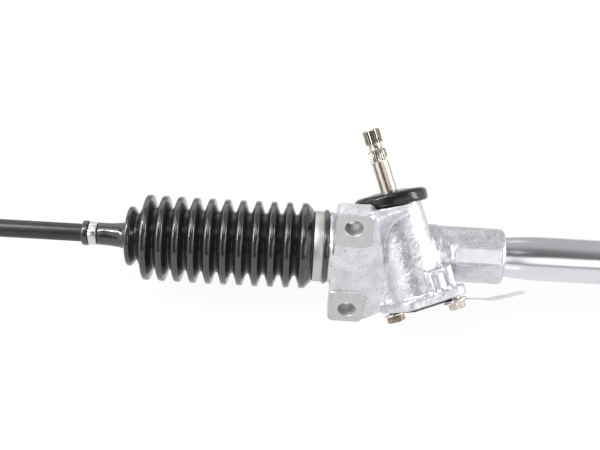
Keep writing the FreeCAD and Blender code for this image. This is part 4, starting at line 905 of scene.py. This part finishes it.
# Cover plate, its gasket, bolts, washers and the bare tag under the right head
coverSettings = {
    "flangeLow": 41.4, "lobe": 9.4, "circle": 26, "slope": 53.4, "turn": -30, "edge": 0.25,
    "gasket": 0.6, "plate": 1.8, "washer": 1.5, "washerBore": 4.2, "washerReach": 8.2,
    "bolts": ((22.517, -13.0, 17), (-22.517, 13.0, 48)), "head": 5.1, "flats": 12, "collar": 5.7,
    "shank": 4, "shankTop": 11, "tag": 0.6, "tagWidth": 14, "tagCorner": 3.2, "tagTwist": 0.1,
    "tagRows": ((0, -9), (0, 7, 2.5, 4), (-6.6, 24.7, 6, 6), (-8.6, 51)), "twistFrom": 9, "twistOver": 18,
}


def addCover(s):
    slope = math.radians(s["slope"])
    half = s["circle"] * math.cos(slope) + s["lobe"]
    tip, side = half / math.cos(slope), half / math.sin(slope)
    outline = roundedOutline([(tip, 0), (0, side), (-tip, 0), (0, -side)], s["lobe"], 10)
    high = -s["flangeLow"]
    for name, thick, finishName, node, slotName in (
            ("coverGasket", s["gasket"], "gasketPaper", "cover_gasket", "gasket"),
            ("coverPlate", s["plate"], "coverSteel", "bottom_cover", "machined_steel")):
        form = eased(moved(prism(outline, high - thick, high), turn(s["turn"], "Z")),
                     min(s["edge"], thick / 3), 2)
        addPiece(name, form, pinionFrame, finishName, "housing", [node], 38)
        high -= thick
    washers = []
    low = high - s["washer"]
    for number, (x, y, angle) in enumerate(s["bolts"]):
        washer = turned([(low, s["washerBore"]), (low, s["washerReach"], 0.35, 3),
                         (high, s["washerReach"], 0.35, 3), (high, s["washerBore"])], 64)
        spot = Matrix.Translation((x, y, 0))
        washers.append(moved(washer, spot))
        top = low - (s["tag"] if number == 0 else 0)
        head = hexagonForm(s["flats"], top - s["head"], top - 0.25)
        collar = solidForm([(top - 0.5, s["collar"]), (top, s["collar"])], 64)
        shank = solidForm([(top - 1, s["shank"]), (s["shankTop"] - s["flangeLow"], s["shank"])], 48)
        bolt = moved(joined([head, collar, shank]), spot @ turn(angle, "Z"))
        addPiece(f"coverBolt{number + 1}", bolt, pinionFrame, ("zincBolts", "rustyZinc")[number],
                 "housing", ["cover_bolts"], 25)
    addPiece("coverWashers", joined(washers), pinionFrame, "bandSteel", "housing", ["cover_washers"], 38)
    addTag(low, s)


def addTag(top, s):
    x, y = s["bolts"][0][:2]
    bm = bmesh.new()
    profileLoop(bm, [(top + row[0], x + row[1], *row[2:]) for row in s["tagRows"]], closed=False)
    grown = bmesh.ops.extrude_edge_only(bm, edges=bm.edges[:])
    far = [item for item in grown["geom"] if isinstance(item, bmesh.types.BMVert)]
    bmesh.ops.translate(bm, verts=bm.verts, vec=(0, y - s["tagWidth"] / 2, 0))
    bmesh.ops.translate(bm, verts=far, vec=(0, s["tagWidth"], 0))
    bmesh.ops.subdivide_edges(bm, edges=[edge for edge in bm.edges if edge.calc_length() > 16], cuts=6)
    for vert in bm.verts:
        share = min(max((vert.co.x - x - s["twistFrom"]) / s["twistOver"], 0), 1)
        vert.co.z += s["tagTwist"] * (vert.co.y - y) * share
    left, right = x + s["tagRows"][0][1] + 0.1, x + s["tagRows"][-1][1] - 0.1
    ends = [vert for vert in bm.verts if vert.co.x > right or vert.co.x < left]
    bmesh.ops.bevel(bm, geom=ends, offset=s["tagCorner"], offset_type="OFFSET", segments=5, profile=0.5,
                    affect="VERTICES", material=-1)
    bmesh.ops.recalc_face_normals(bm, faces=bm.faces)
    if sum(face.normal.z for face in bm.faces) > 0:
        bmesh.ops.reverse_faces(bm, faces=bm.faces)
    bmesh.ops.solidify(bm, geom=bm.faces[:], thickness=-s["tag"])
    addPiece("bareTag", bm, pinionFrame, "tagAlloy", "housing", ["blank_tag"], 30)


addCover(coverSettings)

# Clamps: thin bands, each with a crimped ear
clampSettings = {
    "large": {
        "low": 21.2, "high": 28.4, "inner": 26.62, "outer": 27.5,
        "ear": 3.4, "half": 8, "turn": 150, "dent": 0.25, "dentWidth": 0.3,
    },
    "small": {
        "low": 196.8, "high": 203.0, "inner": 8.1, "outer": 9.0,
        "ear": 1.3, "half": 26, "turn": -90, "dent": 0.25, "dentWidth": 0.3,
    },
}


def addClamps(side, clamps):
    for size, s in clamps.items():
        band = turned([(s["low"], s["inner"]), (s["low"], s["outer"], 0.25, 2),
                       (s["high"], s["outer"], 0.25, 2), (s["high"], s["inner"])], 144)
        for vert in band.verts:
            reach = reachOf(vert.co)
            away = abs((math.degrees(math.atan2(vert.co.y, vert.co.x)) - s["turn"] + 180) % 360 - 180)
            if away < s["half"] and reach > s["outer"] - 0.5:
                share = away / s["half"]
                dent = s["dent"] * math.exp(-(away / (s["dentWidth"] * s["half"])) ** 2)
                vert.co.xy *= 1 + s["ear"] * (math.sqrt(1 - share ** 2) - dent) / reach
        large = size == "large"
        addPiece(f"{side}{size.capitalize()}Clamp", band, endFrames[side],
                 "clampBand" if large else "bandSteel", "housing" if large else side + "_rod",
                 [f"{side}_{size}_clamp"], 34)


# Tie rods: ball, blackened shank with wrench flats, rolled thread and jam nut
rodSettings = {
    "ball": 115.6, "ballRadius": 12, "ballSteps": 24, "shank": 6.0, "radius": 7.0, "groove": 6.6,
    "coneLow": 22, "coneHigh": 27, "neckEnd": 196.5, "grooveWidth": 8.8,
    "flatsLow": 296, "flatsHigh": 312, "flats": 11.4,
    "threadLow": 322, "end": 385.6, "endRadius": 5.4, "endChamfer": 1.5, "pitch": 1.5,
    "threadDepth": 0.85, "nutLow": 337.6, "nutHigh": 346.6, "nutFlats": 22, "nutBore": 6.6,
    "nutMouth": 7.9,
}


def addRod(side, s):
    centre, ballRadius, radius = s["ball"], s["ballRadius"], s["radius"]
    meeting = math.asin((s["shank"] - 0.3) / ballRadius)
    rows = [(centre - ballRadius, 0)]
    for k in range(1, s["ballSteps"] + 1):
        angle = math.pi - (math.pi - meeting) * k / s["ballSteps"]
        rows.append((centre + ballRadius * math.cos(angle), ballRadius * math.sin(angle)))
    groove, grooveEnd = s["neckEnd"], s["neckEnd"] + s["grooveWidth"]
    threadLow, threadHigh = s["threadLow"], s["end"] - s["endChamfer"]
    rows += [
        (centre + s["coneLow"], s["shank"], 2, 4), (centre + s["coneHigh"], radius, 2, 4),
        (groove - 4, radius, 0.4, 3), (groove - 3, s["groove"], 0.4, 3), (grooveEnd, s["groove"], 0.4, 3),
        (grooveEnd + 1, radius, 0.4, 3), (s["flatsLow"] - 4, radius), (s["flatsHigh"] + 4, radius),
    ]
    rows += threadRows(threadLow, threadHigh, radius, s["pitch"])
    rows += [(s["end"], s["endRadius"]), (s["end"], 0)]
    bm = turned(rows, 48, closed=False)
    cutThread(bm, threadLow, threadHigh, radius, s["pitch"], s["threadDepth"])
    for sign in (1, -1):
        near, far = sorted((sign * s["flats"] / 2, sign * 12))
        flat = prism([(-12, near), (12, near), (12, far), (-12, far)], s["flatsLow"], s["flatsHigh"])
        bm = carve(bm, flat)
    addPiece(side + "TieRod", bm, endFrames[side], "blackSteel", side + "_rod", [side + "_tie_rod"], 32)
    nut = hexagonForm(s["nutFlats"], s["nutLow"], s["nutHigh"], 1.2, 1.2)
    nut = carve(nut, solidForm([(s["nutLow"] - 1, s["nutMouth"]), (s["nutLow"] + 1.3, s["nutBore"]),
                                (s["nutHigh"] - 1.3, s["nutBore"]), (s["nutHigh"] + 1, s["nutMouth"])], 48))
    addPiece(side + "JamNut", nut, endFrames[side], "zincBolts", side + "_rod", [side + "_jam_nut"], 25)


for side in endFrames:
    addClamps(side, clampSettings)
    addRod(side, rodSettings)
print("shaft, cap, cover, clamps and rods made")

# Tube and what it carries at the far end
tubeSettings = {
    "start": 82.5, "flareLow": 117.5, "flareHigh": 139, "end": 462, "mouth": 15.03, "radius": 17.25,
    "wall": 2, "sleeveEnd": 469, "sleeveBore": 12.0, "seatStart": 455.5, "seatRadius": 24.5,
    "collar": 27.25, "bracket": 400, "rubber": 25.5, "rubberHalf": 16,
}


def addTube(s):
    wall, mouth, radius, end = s["wall"], s["mouth"], s["radius"], s["end"]
    tube = turned([
        (s["start"], mouth - wall), (s["start"], mouth), (s["flareLow"], mouth, 8, 6),
        (s["flareHigh"], radius, 10, 6), (end, radius), (end, radius - wall),
        (s["flareHigh"], radius - wall, 10, 6), (s["flareLow"], mouth - wall, 8, 6)], 128)
    addPiece("steelTube", tube, lineFrame, "polishedSteel", "housing", ["rack_tube"], 38)
    seat, collar, bore = s["seatStart"], s["collar"], s["sleeveBore"]
    sleeve = turned([
        (seat - 18, radius), (seat - 18, radius + 2.4, 0.8, 4), (seat - 7.5, radius + 3.4, 2, 5),
        (seat - 3.5, collar - 1, 0.6, 3), (seat - 3.5, collar, 0.5, 3), (seat, collar, 0.6, 3),
        (seat, s["seatRadius"], 0.3, 2), (s["sleeveEnd"], s["seatRadius"], 0.9, 2),
        (s["sleeveEnd"], bore, 0.4, 2), (end, bore), (end, radius)], 128)
    addPiece("endSleeve", sleeve, lineFrame, "castAluminium", "housing", ["end_sleeve"], 38)
    low, high, outer = s["bracket"] - s["rubberHalf"], s["bracket"] + s["rubberHalf"], s["rubber"]
    rubber = turned([(low, radius), (low, outer - 3, 0.8, 3), (low + 1.8, outer, 1, 3),
                     (high - 1.8, outer, 1, 3), (high, outer - 3, 0.8, 3), (high, radius)], 96)
    addPiece("mountRubber", rubber, lineFrame, "mountRubber", "housing", ["mount_rubber"], 38)


addTube(tubeSettings)

# Yoke plug with its thread and key, and the lock nut on it
plugSettings = {
    "start": 24, "nut": 38, "nutHigh": 44, "end": 46, "radius": 15, "endRadius": 13.9, "pocket": 7.2,
    "pocketDepth": 4, "key": 13, "keyDepth": 8, "nutFlats": 38, "nutMouth": 16.4, "pitch": 1.5,
    "threadDepth": 0.8,
}


def addPlug(s):
    start, end, radius, low, high = s["start"], s["end"], s["radius"], s["nut"] + 0.5, s["end"] - 1.2
    rows = [(start, 0), (start, radius), (s["nut"], radius)] + threadRows(low, high, radius, s["pitch"])
    rows += [(end, s["endRadius"]), (end, 0)]
    bm = cutThread(turned(rows, 96, closed=False), low, high, radius, s["pitch"], s["threadDepth"])
    bm = carve(bm, hexagonForm(s["key"], end - s["keyDepth"], end + 2, 0))
    bm = carve(bm, solidForm([(start - 1, s["pocket"]), (start + s["pocketDepth"], s["pocket"])], 48))
    addPiece("yokePlug", bm, yokeFrame, "machinedSteel", "housing", ["yoke_plug"], 30)
    nut = hexagonForm(s["nutFlats"], s["nut"], s["nutHigh"], 0, 1.4)
    nut = carve(nut, solidForm([(s["nut"] - 1, radius), (s["nutHigh"] - 0.9, radius),
                                (s["nutHigh"] + 0.6, s["nutMouth"])], 96))
    addPiece("yokeLockNut", nut, yokeFrame, "zincBolts", "housing", ["yoke_lock_nut"], 25)


addPlug(plugSettings)

# Rounded edges on CAD nodes that stay on show
edgeSettings = {"mount_bracket": 0.6, "left_joint_socket": 0.4, "right_joint_socket": 0.4}
for name, width in edgeSettings.items():
    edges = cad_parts[name].modifiers.new("edges", "BEVEL")
    edges.width = width * mm
    edges.segments = 3
    edges.limit_method = "ANGLE"
    edges.angle_limit = math.radians(35)
print("tube, plug and bracket made")
